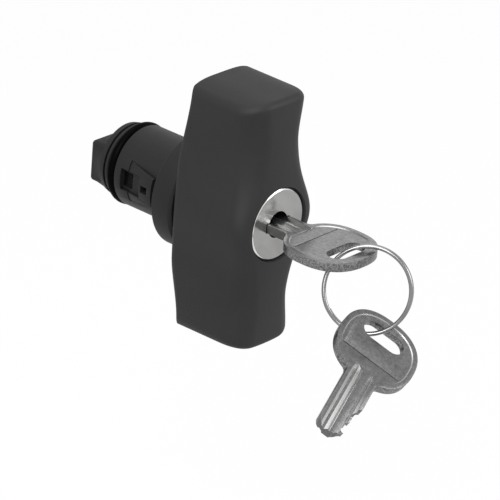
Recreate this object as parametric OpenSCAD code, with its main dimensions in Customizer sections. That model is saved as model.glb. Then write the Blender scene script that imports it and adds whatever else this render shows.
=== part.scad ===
// Quarter-turn handle lock for a cabinet door, with its two keys on a split ring.
// The origin is on the barrel axis at the panel face, +Y points into the cabinet
// and +Z up along the handle. At rest the lock is open and the key is in the plug.

/* [Barrel] */
// Diameter of the barrel that passes through the panel
barrel_d = 22; // [21:0.5:25]
// Length of the barrel from the panel face to the seal groove
barrel_l = 16.8; // [16.8:0.2:24]
// Width of the seal groove
groove_w = 3.4; // [3:0.1:4]
// Thickness of the seal ring in that groove
seal_d = 2.8; // [2.2:0.1:2.9]
// Thickness of the lip behind the seal groove
lip_t = 1.2; // [0.8:0.1:2]
// Diameter of the collar that rests on the panel
collar_d = 30.4; // [29:0.2:36]
// Thickness of the collar
collar_t = 6.5; // [6.2:0.1:9]

/* [Snap latches] */
// Distance from the panel face to the front end of a latch, the thickest panel
latch_y = 3.4; // [2.6:0.1:5]
// Length of a latch
latch_l = 8.9; // [8:0.1:10]
// Width of a latch at its front end
latch_front_w = 7.6; // [6.8:0.1:9]
// Width of a latch at its rear end
latch_rear_w = 10.8; // [9:0.1:12]
// How far the front end of a latch stands out of the barrel
latch_out = 0.7; // [0.3:0.1:1.1]
// Travel of a latch when it is pressed in
latch_travel = 1.1; // [0.8:0.05:1.2]
// Length of the open pocket behind a latch
pocket_l = 2.5; // [2:0.1:3]

/* [Handle] */
// Height of the handle at its middle
handle_h = 68.6; // [60:0.2:90]
// Depth of the handle from its back to the front of the boss
handle_depth = 22; // [21.5:0.1:26]
// Width of the back at both ends
back_end_w = 22.8; // [19:0.2:26]
// Width of the back at the middle
back_mid_w = 30.6; // [28:0.2:36]
// Width of the front at both ends
front_end_w = 22.6; // [18:0.2:26]
// Width of the front at its waists
waist_w = 17.4; // [15:0.2:22]
// Distance of the waists from the middle
waist_z = 20; // [17:0.5:26]
// Width of the boss that holds the lock
boss_w = 27.4; // [25.5:0.2:34]
// Spread of the boss along the handle
boss_spread = 11; // [9:0.5:15]
// How far the front falls back from the boss
front_fall = 1.2; // [0:0.1:2.5]
// Bulge of the front between its edges
front_crown = 0.9; // [0.2:0.1:2]
// Radius of the long front edges
front_edge_r = 6; // [3:0.5:7]
// Radius of the long back edges
back_edge_r = 1.6; // [0.8:0.1:3]
// Radius of the rim of both end faces
end_edge_r = 1.5; // [0.8:0.1:2.5]
// Rise of the end faces between their sides
end_arch = 1; // [0:0.1:2]
// Fall of the end faces towards the front
end_fall = 1.1; // [0:0.1:3]
// Thickness of the moulded walls
wall = 2.6; // [2:0.1:3.2]
// Thickness of the back plate
plate_t = 2.2; // [1.8:0.1:3]
// Distance of the back plate screws from the ends of the handle
screw_inset = 11; // [9.5:0.5:13]

/* [Lock] */
// Diameter of the face of the plug
face_d = 19; // [18:0.1:20]
// Thickness of the face of the plug
face_t = 1.6; // [1.2:0.1:2]
// How far the face lies behind the front of the boss
face_recess = 0.8; // [0.4:0.1:1.5]
// Diameter of the lock cylinder
cylinder_d = 17.2; // [16.6:0.1:18]
// Diameter of the plug inside the cylinder
plug_d = 13.6; // [13:0.1:14]
// Number of wafers
wafers = 5; // [3:1:5]
// Thickness of a wafer
wafer_t = 0.8; // [0.5:0.05:1]
// Diameter of the round mouth of the keyhole
mouth_d = 7; // [6:0.1:8]
// Throw of the bolt
bolt_throw = 2.2; // [1.8:0.05:2.4]
// Thickness of the bolt
bolt_t = 3; // [2:0.1:3.2]
// Width of the bolt
bolt_w = 6.6; // [6.4:0.1:7]

/* [Drive] */
// Diameter of the spindle inside the barrel
spindle_d = 12; // [11.6:0.1:12.6]
// Diameter of the flange behind the barrel
flange_d = 21.2; // [20:0.1:24]
// Thickness of that flange
flange_t = 1.6; // [1:0.1:3]
// Width of the drive tang
tang_w = 16; // [14:0.2:17]
// Height of the drive tang
tang_h = 11; // [10.4:0.2:12]
// Length of the drive tang
tang_l = 4.6; // [4.4:0.1:10]

/* [Keys] */
// Thickness of a key
key_t = 2.3; // [1.8:0.1:2.4]
// Width of the bow
bow_w = 21.6; // [20:0.2:26]
// Length of the bow
bow_l = 22; // [20:0.2:26]
// Width of the blade
blade_w = 8.3; // [7.4:0.1:8.4]
// Gap between the face of the plug and the bow of a key in it
bow_gap = 7; // [6.8:0.1:9]
// Length of the slot in the bow
slot_l = 11.6; // [10:0.2:13]
// Width of the slot in the bow
slot_w = 5.5; // [5.2:0.1:6]
// Width of the strip between the slot and the end of the bow
strip_w = 3.4; // [3:0.1:4]
// Depth of the sunk panel on both sides of the bow
panel_sink = 0.25; // [0.1:0.05:0.5]

/* [Ring] */
// Outer diameter of the split ring
ring_d = 22.6; // [21:0.2:26]
// Thickness of the ring's wire
wire_d = 1.1; // [0.8:0.05:1.2]

/* [Hidden] */
$fn = 64;

// Clearances
turn_fit = 0.1;
slide_fit = 0.15;
seat_fit = 0.05;
turn_gap = 0.5;
tail_room = 3.3;
eps = 0.02;

// Levels along the barrel axis
collar_front = -collar_t;
handle_back = collar_front - turn_gap;
plate_front = handle_back - plate_t;
boss_front = handle_back - handle_depth;
lock_face = boss_front + face_recess;
face_back = lock_face + face_t;
cylinder_front = face_back + turn_fit;
cylinder_back = plate_front - tail_room;
groove_front = barrel_l;
groove_back = groove_front + groove_w;
barrel_back = groove_back + lip_t;
spindle_end = barrel_back + slide_fit;
flange_back = spindle_end + flange_t;
tang_end = flange_back + tang_l;

// Radii
barrel_r = barrel_d / 2;
collar_r = collar_d / 2;
spindle_r = spindle_d / 2;
bore_r = spindle_r + turn_fit;
band_step = 0.25;
land_l = latch_y - 2 * slide_fit;
band_r = barrel_r - band_step;
groove_r = barrel_r - seal_d + seat_fit;
collar_bevel = 0.8;
lip_bevel = 0.5;

// Snap latches
latch_end = latch_y + latch_l;
pocket_end = latch_end + pocket_l;
pocket_w = 5.8;
latch_base_w = 5.4;
latch_base_t = 0.7;
latch_lip = 0.9;
latch_sink = 0.4;
pocket_floor = bore_r + 1.1;
latch_rail = barrel_r - 1.3;
latch_base_top = latch_rail - slide_fit;
latch_base = latch_base_top - latch_base_t;
latch_window_y = latch_y + 4.2;
latch_window_l = 3.2;
latch_hole = 1.9;
spring_t = 0.25;
spring_w = 3.6;
spring_l = 9;

// Handle shell
half_h = handle_h / 2;
bulge_flat = 14;
boss_edge_r = 3.4;
hub_r = cylinder_d / 2 + 2;
post_r = 3;
screw_r = 1.5;
screw_head_r = 2.9;
screw_head_t = 1.5;
screw_l = 8;
screw_z = half_h - screw_inset;

// Lock cylinder and plug
cylinder_r = cylinder_d / 2;
face_r = face_d / 2;
face_bevel = 0.5;
plug_r = plug_d / 2;
end_wall = 1.2;
journal_r = 5.2;
journal_out = 1.9;
plug_back = cylinder_back - end_wall - turn_fit;
journal_end = cylinder_back + journal_out;
keyway_w = blade_w + 2 * slide_fit;
keyway_h = key_t + 2 * slide_fit;
mouth_depth = 2.4;
blade_tip = cylinder_back - 0.7;
blade_l = blade_tip - lock_face + bow_gap;
keyway_end = blade_tip + 2 * slide_fit;
wafer_w = 5.8;
first_wafer = face_back + 2.2;
wafer_pitch = (blade_tip - first_wafer - 1.8) / wafers;
wafer_channel = 0.9;
pin_r = 1;
clip_t = 0.7;
clip_r = 6.4;
clip_seat = 0.7;

// Tail cam and bolt
cam_r = 3;
cam_throw = bolt_throw / sqrt(2);
crank_r = 0.7;
shank_w = 4.2;
bolt_front = collar_front + 1.1;
bolt_back = bolt_front + bolt_t;
bolt_nose = sqrt(spindle_r * spindle_r - bolt_w * bolt_w / 4) - slide_fit;
bolt_tail = -3.4;
keeper_r = bolt_nose + bolt_throw + 0.5;

// Quarter-turn stop
stop_r = 1.25;
stop_orbit = 10.4;
stop_depth = 2.4;
washer_t = 0.4;

// Drive end
shank_d = 7.6;
shank_l = 3.6;
tang_screw_r = 2;
tang_screw_l = 12;
tang_head_r = 3.6;
tang_head_t = 1.6;
inner_seal_y = 8;
inner_seal_w = 2.2;
inner_seal_d = 1.5;

// Keys and ring
bow_round = 2.4;
bow_start = 1.1;
slot_v = bow_l - strip_w - slot_w / 2;
panel_v = 4.4;
panel_rim = 1.3;
bite = [1.6, 2.4, 1.0, 2.0, 1.3];
tip_w = 3.4;
groove_cut = 0.55;
ring_r = ring_d / 2 - wire_d / 2;
ring_turns = 1.8;
ring_bearing = -58.4;
ring_lean = 19.6;
ring_play = 0.82;
ring_hang = [3.85, lock_face - bow_gap - bow_l + strip_w / 2 - 0.8, 0];
ring_drop = ring_r - wire_d / 2 - key_t / 2 / cos(ring_lean) - ring_play;
spare_angle = 288.5;
spare_roll = -35.5;
spare_tilt = 56.5;
spare_yaw = 10;
spare_hang = [-2.1, slot_v + 0.5, 0];

// Shared shapes
module along_y() rotate([-90, 0, 0]) children();
module along_x(x0, x1) translate([x0, 0, 0]) rotate([90, 0, 90]) linear_extrude(x1 - x0) children();
module rod(r, y0, y1) translate([0, y0, 0]) along_y() cylinder(r = r, h = y1 - y0);
module turned(profile) along_y() rotate_extrude($fn = 96) polygon(profile);
module bar(w, h, y0, y1) translate([-w / 2, y0, -h / 2]) cube([w, y1 - y0, h]);
module both_sides() {
    children();
    mirror([1, 0, 0]) children();
}

// Barrel: collar, snap-in tube and seal groove
function barrel_profile() = [
    [bore_r, collar_front],
    [collar_r - collar_bevel, collar_front],
    [collar_r, collar_front + collar_bevel],
    [collar_r, -collar_bevel / 2],
    [collar_r - collar_bevel / 2, 0],
    [barrel_r, 0],
    [barrel_r, land_l],
    [band_r, land_l],
    [band_r, groove_front],
    [groove_r, groove_front],
    [groove_r, groove_back],
    [band_r, groove_back],
    [band_r, barrel_back - lip_bevel],
    [band_r - lip_bevel, barrel_back],
    [bore_r, barrel_back]
];

module latch_outline(grow) {
    front = latch_front_w / 2 + grow;
    rear = latch_rear_w / 2 + grow;
    polygon([
        [latch_y - grow, -front], [latch_end + grow, -rear],
        [latch_end + grow, rear], [latch_y - grow, front]
    ]);
}

module latch_base_outline(grow) {
    translate([latch_y - latch_lip - grow, -latch_base_w / 2 - grow])
        square([latch_l + pocket_l + 2 * (latch_lip + grow), latch_base_w + 2 * grow]);
}

module latch_window() {
    along_x(pocket_floor, collar_r) latch_outline(slide_fit);
    along_x(pocket_floor, latch_rail) latch_base_outline(slide_fit);
    along_x(latch_base, collar_r)
        translate([latch_end - eps, -pocket_w / 2]) square([pocket_l + eps, pocket_w]);
}

module stop_groove() {
    sweep = 90 + 2 * asin((stop_r + slide_fit) / stop_orbit);
    translate([0, collar_front - eps, 0])
        along_y() rotate([0, 0, 135 - sweep / 2])
            rotate_extrude(angle = sweep, $fn = 96)
                translate([stop_orbit - stop_r - slide_fit, 0])
                    square([2 * (stop_r + slide_fit), stop_depth + eps]);
}

module barrel_housing() color("#2b2b2d") difference() {
    turned(barrel_profile());
    stop_groove();
    for (turn = [0, 90])
        rotate([0, turn, 0])
            bar(bolt_w + 4 * slide_fit, 2 * keeper_r, bolt_front - 2 * slide_fit, bolt_back + 2 * slide_fit);
    both_sides() latch_window();
}

module barrel_seal() color("#101010") along_y()
    translate([0, 0, (groove_front + groove_back) / 2])
        rotate_extrude($fn = 96) translate([groove_r + seal_d / 2, 0]) circle(seal_d / 2 - seat_fit);

module thrust_washer() color("#d8d4c8") turned([
    [bore_r + slide_fit, collar_front - washer_t], [stop_orbit - stop_r - 3 * slide_fit, collar_front - washer_t],
    [stop_orbit - stop_r - 3 * slide_fit, collar_front], [bore_r + slide_fit, collar_front]
]);

// Snap latches and their leaf springs
module latch_form() {
    intersection() {
        turned([
            [latch_base, latch_y], [barrel_r + latch_out, latch_y],
            [barrel_r - latch_sink, latch_end], [latch_base, latch_end]
        ]);
        along_x(latch_base, collar_r) latch_outline(0);
    }
    along_x(latch_base, latch_base_top) latch_base_outline(0);
}

module snap_latch() color("#2b2b2d") difference() {
    latch_form();
    along_x(latch_base_top + latch_base_t, collar_r)
        translate([latch_window_y, -pocket_w / 2]) square([latch_l, pocket_w]);
    along_x(0, collar_r)
        translate([latch_y + 1.6, -latch_hole / 2]) square([latch_hole + 0.4, latch_hole]);
}

module leaf_spring() color("#b9bcc0") {
    steps = 12;
    rise = latch_base - pocket_floor - spring_t - 2 * seat_fit;
    mid = (latch_y + pocket_end) / 2;
    arch = [for (i = [-steps:steps]) [mid + i / steps * spring_l / 2, rise * (1 - i * i / steps / steps)]];
    translate([pocket_floor + seat_fit, 0, -spring_w / 2])
        linear_extrude(spring_w)
            polygon(concat(
                [for (p = arch) [p.y, p.x]],
                [for (i = [len(arch) - 1:-1:0]) [arch[i].y + spring_t, arch[i].x]]));
}

module latch_right() snap_latch();
module latch_left() mirror([1, 0, 0]) snap_latch();
module latch_spring_right() leaf_spring();
module latch_spring_left() mirror([1, 0, 0]) leaf_spring();

// Handle shell: rounded sections lofted along the height
function unit(v) = v / norm(v);
function ease(t) = t <= 0 ? 0 : t >= 1 ? 1 : t * t * (3 - 2 * t);
function bell(z) = exp(-(z / boss_spread) * (z / boss_spread));
function back_half(z) = back_end_w / 2 + (back_mid_w - back_end_w) / 2
    * (1 - ease((abs(z) - bulge_flat) / (half_h - bulge_flat)));
function front_half(z) = waist_w / 2 + (boss_w - waist_w) / 2 * bell(z)
    + (front_end_w - waist_w) / 2 * ease((abs(z) - waist_z) / (half_h - waist_z));
function front_y(z) = boss_front + front_fall * (1 - bell(z / 1.2));
function edge_r(z) = front_edge_r + (boss_edge_r - front_edge_r) * bell(z);
function end_z(p) = half_h - end_arch * pow(2 * p.x / back_end_w, 2)
    - end_fall * (handle_back - p.y) / handle_depth;

function fillet(a, b, c, r, n) = let(
        u = unit(a - b),
        v = unit(c - b),
        half = acos(u * v) / 2,
        centre = b + unit(u + v) * r / sin(half),
        start = b + u * r / tan(half) - centre,
        stop = b + v * r / tan(half) - centre,
        a0 = atan2(start.y, start.x),
        turn = atan2(stop.y, stop.x) - a0,
        sweep = turn > 180 ? turn - 360 : turn < -180 ? turn + 360 : turn
    ) [for (i = [0:n]) centre + r * [cos(a0 + sweep * i / n), sin(a0 + sweep * i / n)]];

// One section at height z, drawn in by inset, with its front held back by front_inset
function section(z, inset, back, front_inset, nb, nf) = let(
        wb = back_half(z) - inset,
        wf = front_half(z) - inset,
        front = front_y(z) + front_inset,
        rb = max(back_edge_r - inset, 0.3),
        rf = max(edge_r(z) - inset, 0.6),
        br = [wb, back],
        fr = [wf, front],
        fl = [-wf, front],
        bl = [-wb, back],
        flat = wf - rf,
        outline = concat(
            fillet(bl, br, fr, rb, nb),
            fillet(br, fr, fl, rf, nf),
            [for (i = [1:nf - 1]) [flat - 2 * flat * i / nf, front]],
            fillet(fr, fl, bl, rf, nf),
            fillet(fl, bl, br, rb, nb))
    ) [for (p = outline) [p.x, p.y - front_crown * max(0, 1 - pow(p.x / wf, 2)) * pow((back - p.y) / (back - front), 4)]];

// Levels from the bottom to the top: share of the height, step in from the end and inset
function end_levels(steps, r) = [for (i = [1:steps]) [1, r * (1 - sin(90 * i / steps)), r * (1 - cos(90 * i / steps))]];
function levels(steps, rim, r) = let(up = end_levels(rim, r)) concat(
    [for (i = [rim - 1:-1:0]) [-1, up[i][1], up[i][2]]],
    [for (i = [-steps:steps]) [i / steps, r, 0]],
    up);

module loft(rings) {
    n = len(rings[0]);
    m = len(rings);
    caps = [for (k = [0, m - 1]) let(s = [for (p = rings[k]) 1] * rings[k] / n) s];
    points = concat([for (ring = rings) each ring], caps);
    polyhedron(points, concat(
        [for (k = [0:m - 2]) for (i = [0:n - 1]) let(j = (i + 1) % n)
            each [[k * n + i, (k + 1) * n + i, (k + 1) * n + j], [k * n + i, (k + 1) * n + j, k * n + j]]],
        [for (i = [0:n - 1]) [m * n, i, (i + 1) % n]],
        [for (i = [0:n - 1]) [m * n + 1, (m - 1) * n + (i + 1) % n, (m - 1) * n + i]]));
}

module handle_form(inset, back, front_inset, steps, rim, nb, nf) {
    loft([for (level = levels(steps, rim, end_edge_r)) let(
            share = level[0],
            z = share * (half_h - inset - level[1]),
            ring = section(z, inset + level[2], back, front_inset + level[2], nb, nf))
        [for (i = [len(ring) - 1:-1:0]) let(p = ring[i]) [p.x, p.y, share * (end_z(p) - inset - level[1])]]]);
}

module handle_grip() color("#38383a") difference() {
    union() {
        difference() {
            handle_form(0, handle_back, 0, 14, 3, 2, 5);
            handle_form(wall, handle_back + wall, wall, 8, 1, 1, 3);
        }
        rod(hub_r, boss_front + wall * 0.7, plate_front);
        for (side = [-1, 1])
            translate([0, 0, side * screw_z]) rod(post_r, front_y(screw_z) + wall * 0.7, plate_front);
    }
    rod(face_r + 2 * slide_fit, boss_front - 2 * front_crown, face_back + turn_fit);
    rod(cylinder_r + seat_fit, lock_face, handle_back + wall);
    translate([0, 0, cylinder_r]) rod(pin_r + seat_fit, cylinder_front + 1, handle_back);
    for (side = [-1, 1])
        translate([0, 0, side * screw_z]) rod(screw_r, plate_front - screw_l, handle_back);
}

// Back plate with the hollow spindle
module back_plate() color("#2b2b2d") difference() {
    union() {
        intersection() {
            handle_form(wall + slide_fit, handle_back + wall, wall, 8, 1, 1, 3);
            translate([-handle_h, plate_front, -handle_h]) cube([2 * handle_h, plate_t, 2 * handle_h]);
        }
        rod(spindle_r, plate_front + eps, spindle_end);
        bar(shank_d, shank_d, spindle_end - eps, spindle_end + shank_l);
    }
    rod(cam_r + 2 * slide_fit, plate_front - eps, bolt_front);
    translate([0, 0, spindle_r + bolt_tail])
        bar(bolt_w + 2 * slide_fit, 2 * spindle_r + slide_fit, bolt_front - slide_fit, bolt_back + slide_fit);
    rod(tang_screw_r, spindle_end + shank_l - tang_screw_l, spindle_end + shank_l + eps);
    turned([
        [spindle_r - inner_seal_d, inner_seal_y], [spindle_r + 1, inner_seal_y],
        [spindle_r + 1, inner_seal_y + inner_seal_w], [spindle_r - inner_seal_d, inner_seal_y + inner_seal_w]
    ]);
    translate([0, 0, -stop_orbit]) rod(stop_r, plate_front - eps, handle_back + eps);
    for (side = [-1, 1])
        translate([0, 0, side * screw_z]) {
            rod(screw_r + slide_fit, plate_front - eps, handle_back + eps);
            turned([[0, handle_back - screw_head_t], [screw_r, handle_back - screw_head_t],
                [screw_head_r + slide_fit, handle_back], [screw_head_r + slide_fit, handle_back + 1], [0, handle_back + 1]]);
        }
}

module plate_screws() color("#a9abae")
    for (side = [-1, 1])
        translate([0, 0, side * screw_z])
            turned([[0, handle_back - screw_l], [screw_r - seat_fit, handle_back - screw_l],
                [screw_r - seat_fit, handle_back - screw_head_t], [screw_head_r, handle_back - seat_fit],
                [0, handle_back - seat_fit]]);

module stop_pin() color("#a9abae")
    translate([0, 0, -stop_orbit]) rod(stop_r, plate_front, collar_front + stop_depth - 2 * slide_fit);

module spindle_seal() color("#101010") along_y()
    translate([0, 0, inner_seal_y + inner_seal_w / 2])
        rotate_extrude($fn = 96) translate([spindle_r - inner_seal_d / 2 + seat_fit / 2, 0]) circle(inner_seal_d / 2);

// Drive end behind the barrel
module drive_tang() color("#38383a") difference() {
    union() {
        rod(flange_d / 2, spindle_end, flange_back);
        bar(tang_w, tang_h, flange_back - eps, tang_end);
    }
    bar(shank_d + 2 * seat_fit, shank_d + 2 * seat_fit, spindle_end - eps, spindle_end + shank_l + slide_fit);
    rod(tang_screw_r + slide_fit, spindle_end, tang_end + eps);
    turned([[0, tang_end - tang_head_t], [tang_screw_r, tang_end - tang_head_t],
        [tang_head_r + slide_fit, tang_end], [tang_head_r + slide_fit, tang_end + 1], [0, tang_end + 1]]);
}

module tang_screw() color("#a9abae") turned([
    [0, tang_end - tang_screw_l], [tang_screw_r - seat_fit, tang_end - tang_screw_l],
    [tang_screw_r - seat_fit, tang_end - tang_head_t], [tang_head_r, tang_end - seat_fit], [0, tang_end - seat_fit]
]);

// Lock cylinder, plug and wafers
module lock_cylinder() color("#b4b6b8") difference() {
    rod(cylinder_r, cylinder_front, cylinder_back);
    rod(plug_r + turn_fit, cylinder_front - eps, cylinder_back - end_wall);
    rod(journal_r + turn_fit, cylinder_front, cylinder_back + eps);
    bar(2 * (plug_r + wafer_channel), wafer_w + 2 * slide_fit, cylinder_front + 1, cylinder_back - end_wall);
    translate([0, 0, cylinder_r]) rod(pin_r + seat_fit, cylinder_front + 1, cylinder_back + eps);
}

module cylinder_pin() color("#a9abae")
    translate([0, 0, cylinder_r]) rod(pin_r, cylinder_front + 1 + seat_fit, plate_front - seat_fit);

module wafer_slots(t) {
    for (i = [0:wafers - 1])
        translate([0, first_wafer + i * wafer_pitch, 0]) children();
}

module lock_plug() color("#c3c5c7") difference() {
    union() {
        turned([[0, lock_face], [face_r - face_bevel, lock_face], [face_r, lock_face + face_bevel],
            [face_r, face_back], [0, face_back]]);
        rod(plug_r, face_back - eps, plug_back);
        rod(journal_r, plug_back - eps, journal_end);
    }
    bar(keyway_w, keyway_h, lock_face - eps, keyway_end);
    rod(mouth_d / 2, lock_face - eps, lock_face + mouth_depth);
    wafer_slots() bar(2 * plug_r + 1, wafer_w + 2 * slide_fit, -slide_fit / 2, wafer_t + slide_fit / 2);
    bar(shank_w, shank_w, keyway_end + 0.3, journal_end + eps);
    turned([[journal_r - clip_seat, cylinder_back + seat_fit], [plug_r, cylinder_back + seat_fit],
        [plug_r, cylinder_back + clip_t + 3 * seat_fit], [journal_r - clip_seat, cylinder_back + clip_t + 3 * seat_fit]]);
}

module wafer_set() color("#c9a45a") wafer_slots() difference() {
    intersection() {
        rod(plug_r - slide_fit, 0, wafer_t);
        bar(2 * plug_r, wafer_w, 0, wafer_t);
    }
    bar(keyway_w + slide_fit, keyway_h + slide_fit, -eps, wafer_t + eps);
}

module plug_clip() color("#8f9296") translate([0, cylinder_back + 2 * seat_fit, 0]) difference() {
    rod(clip_r, 0, clip_t);
    rod(journal_r - clip_seat + seat_fit, -eps, clip_t + eps);
    translate([0, 0, -clip_r]) bar(2 * journal_r - 2, 2 * clip_r - 2, -eps, clip_t + eps);
}

// Tail cam and the bolt that it throws
module tail_cam() color("#9a9c9f") {
    bar(shank_w, shank_w, keyway_end + 0.4, journal_end + eps);
    rod(cam_r, journal_end, bolt_front - slide_fit);
    translate([-cam_throw / sqrt(2), 0, -cam_throw / sqrt(2)]) rod(crank_r, bolt_front - slide_fit - eps, bolt_back - slide_fit);
}

module lock_bolt() color("#9a9c9f") difference() {
    translate([-bolt_w / 2, bolt_front, bolt_tail + slide_fit]) cube([bolt_w, bolt_t, bolt_nose - bolt_tail - slide_fit]);
    translate([-cam_throw, 0, -cam_throw / sqrt(2)]) {
        play = crank_r + slide_fit;
        inner = cam_throw - cam_throw / sqrt(2);
        rod(play, bolt_front - eps, bolt_back + eps);
        translate([inner, 0, 0]) rod(play, bolt_front - eps, bolt_back + eps);
        translate([0, bolt_front - eps, -play]) cube([inner, bolt_t + 2 * eps, 2 * play]);
    }
}

// Keys: bow, slot, sunk panel, grooved blade and bitting
function bow_point(a, grow) = let(c = cos(a), s = sin(a)) [
    (bow_w / 2 + grow) * sign(c) * pow(abs(c), 2 / bow_round),
    bow_l / 2 + (bow_l / 2 + grow) * sign(s) * pow(abs(s), 2 / bow_round)
];
function bow_outline(grow, n) = [for (i = [0:n - 1]) bow_point(360 * i / n, grow)];

module slot_outline() {
    half = (slot_l - slot_w) / 2;
    for (side = [-1, 1])
        translate([side * half, slot_v]) circle(slot_w / 2);
    translate([-half, slot_v - slot_w / 2]) square([2 * half, slot_w]);
}

module blade_outline() {
    tip = -blade_l;
    edge = blade_w / 2;
    cut_start = -(bow_gap + first_wafer - lock_face);
    cuts = [for (i = [0:wafers - 1]) let(v = cut_start - i * wafer_pitch)
        each [[edge, v + wafer_pitch * 0.45], [edge - bite[i], v], [edge - bite[i], v - wafer_pitch * 0.5]]];
    polygon(concat(
        [[-edge, bow_start + 1], [edge, bow_start + 1]], cuts,
        [[edge - 1.2, tip + 2.4], [edge - tip_w, tip], [-edge + tip_w * 0.6, tip], [-edge, tip + tip_w * 0.7]]));
}

module blade_grooves() {
    for (side = [-1, 1])
        translate([side * blade_w * 0.2, 0])
            polygon([[-0.7, -blade_l - 1], [0.7, -blade_l - 1], [0.7, bow_start], [0, bow_start + 2.6], [-0.7, bow_start]]);
}

module key() color("#a6a7a8") translate([0, 0, -key_t / 2]) difference() {
    union() {
        linear_extrude(key_t) polygon(bow_outline(0, 64));
        linear_extrude(key_t) blade_outline();
    }
    translate([0, 0, -eps]) linear_extrude(key_t + 2 * eps) slot_outline();
    for (z = [-eps, key_t - panel_sink])
        translate([0, 0, z]) linear_extrude(panel_sink + eps) intersection() {
            polygon(bow_outline(-panel_rim, 64));
            translate([-bow_w, panel_v]) square([2 * bow_w, bow_l]);
        }
    for (z = [-eps, key_t - groove_cut])
        translate([0, 0, z]) linear_extrude(groove_cut + eps) blade_grooves();
}

module key_in_lock() translate([0, lock_face - bow_gap, 0]) mirror([0, 1, 0]) key();

// Split ring hung on the strip of the first key
module ring_frame()
    translate(ring_hang)
        rotate([90 - ring_lean, 0, ring_bearing])
            translate([0, -ring_drop, 0]) children();

module split_ring() color("#b9babc") ring_frame() {
    steps = 84;
    sides = 8;
    from = (ring_turns - 1) / ring_turns;
    over = (2 - ring_turns) / ring_turns;
    loft([for (i = [0:steps]) let(
            a = 214 + 360 * ring_turns * i / steps,
            lift = wire_d * 1.04 * (ease((i / steps - from) / over) - 0.5))
        [for (k = [0:sides - 1]) let(b = -360 * k / sides, r = ring_r + wire_d / 2 * cos(b))
            [r * cos(a), r * sin(a), lift + wire_d / 2 * sin(b)]]]);
}

module spare_key() ring_frame()
    translate(ring_r * [cos(spare_angle), sin(spare_angle), 0])
        rotate([0, 0, spare_roll]) rotate([-spare_tilt, 0, 0]) rotate([0, 0, spare_yaw])
            translate(-spare_hang) key();

barrel_housing();
barrel_seal();
thrust_washer();
latch_left();
latch_right();
latch_spring_left();
latch_spring_right();
handle_grip();
back_plate();
plate_screws();
stop_pin();
spindle_seal();
drive_tang();
tang_screw();
lock_cylinder();
cylinder_pin();
lock_plug();
wafer_set();
plug_clip();
tail_cam();
lock_bolt();
key_in_lock();
split_ring();
spare_key();
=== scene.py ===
"""Looks of a quarter-turn handle lock: moulded grip, snap-in barrel, bright plug, keys and split ring.

Sizes are in millimetres in the classes below and become metres when a mesh is made.
The frame has its origin on the barrel axis at the panel face, +Y into the cabinet, +Z up.
"""

import logging
import math
from contextlib import contextmanager
from dataclasses import dataclass
from enum import Enum
from functools import cache
from typing import Iterable, Iterator, Optional, Sequence

import bmesh
import bpy
import numpy as np
from mathutils import Matrix, Vector


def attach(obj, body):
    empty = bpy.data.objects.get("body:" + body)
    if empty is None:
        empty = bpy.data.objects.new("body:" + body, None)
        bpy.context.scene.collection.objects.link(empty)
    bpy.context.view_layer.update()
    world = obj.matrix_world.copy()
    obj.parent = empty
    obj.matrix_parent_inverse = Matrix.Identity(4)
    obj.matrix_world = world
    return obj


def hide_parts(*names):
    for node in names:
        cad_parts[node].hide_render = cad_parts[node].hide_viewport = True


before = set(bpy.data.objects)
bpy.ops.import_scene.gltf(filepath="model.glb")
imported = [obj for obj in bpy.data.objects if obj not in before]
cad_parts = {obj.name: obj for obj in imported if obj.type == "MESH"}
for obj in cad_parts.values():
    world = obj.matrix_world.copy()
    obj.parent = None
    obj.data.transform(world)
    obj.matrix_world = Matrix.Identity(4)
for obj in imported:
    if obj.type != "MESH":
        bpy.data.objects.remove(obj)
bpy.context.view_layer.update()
LOG = logging.getLogger("handle_lock")
MM = 0.001
# How far cutters reach beyond the part, and beyond a face that they only have to pass.
FAR = 20.0
PAST = 1.0

Piece = bpy.types.Object
Material = bpy.types.Material
Node = bpy.types.Node
Socket = bpy.types.NodeSocket
Tree = bpy.types.NodeTree
Point2 = tuple[float, float]
Point3 = tuple[float, float, float]
Profile = list[Point2]


class Axis(Enum):
    """Directions along which an outline is drawn out, each with the order of its coordinates."""

    X = (2, 0, 1)
    Y = (0, 2, 1)
    Z = (0, 1, 2)


class Slot(Enum):
    """Material slots of the record."""

    GRIP = "grip_plastic"
    BARREL = "barrel_plastic"
    SEAL = "seal_rubber"
    WASHER = "washer_plastic"
    STEEL = "bright_steel"
    LOCK = "lock_nickel"
    WAFER = "wafer_brass"
    KEY = "key_nickel"
    RING = "ring_steel"


# Meshes


@contextmanager
def edited(mesh: bpy.types.Mesh) -> Iterator[bmesh.types.BMesh]:
    """Open a mesh for edits and write it back afterwards.

    Args:
        mesh: The mesh.

    Returns:
        The mesh in its editable form.
    """
    bm = bmesh.new()
    bm.from_mesh(mesh)
    yield bm
    bm.to_mesh(mesh)
    bm.free()


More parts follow.
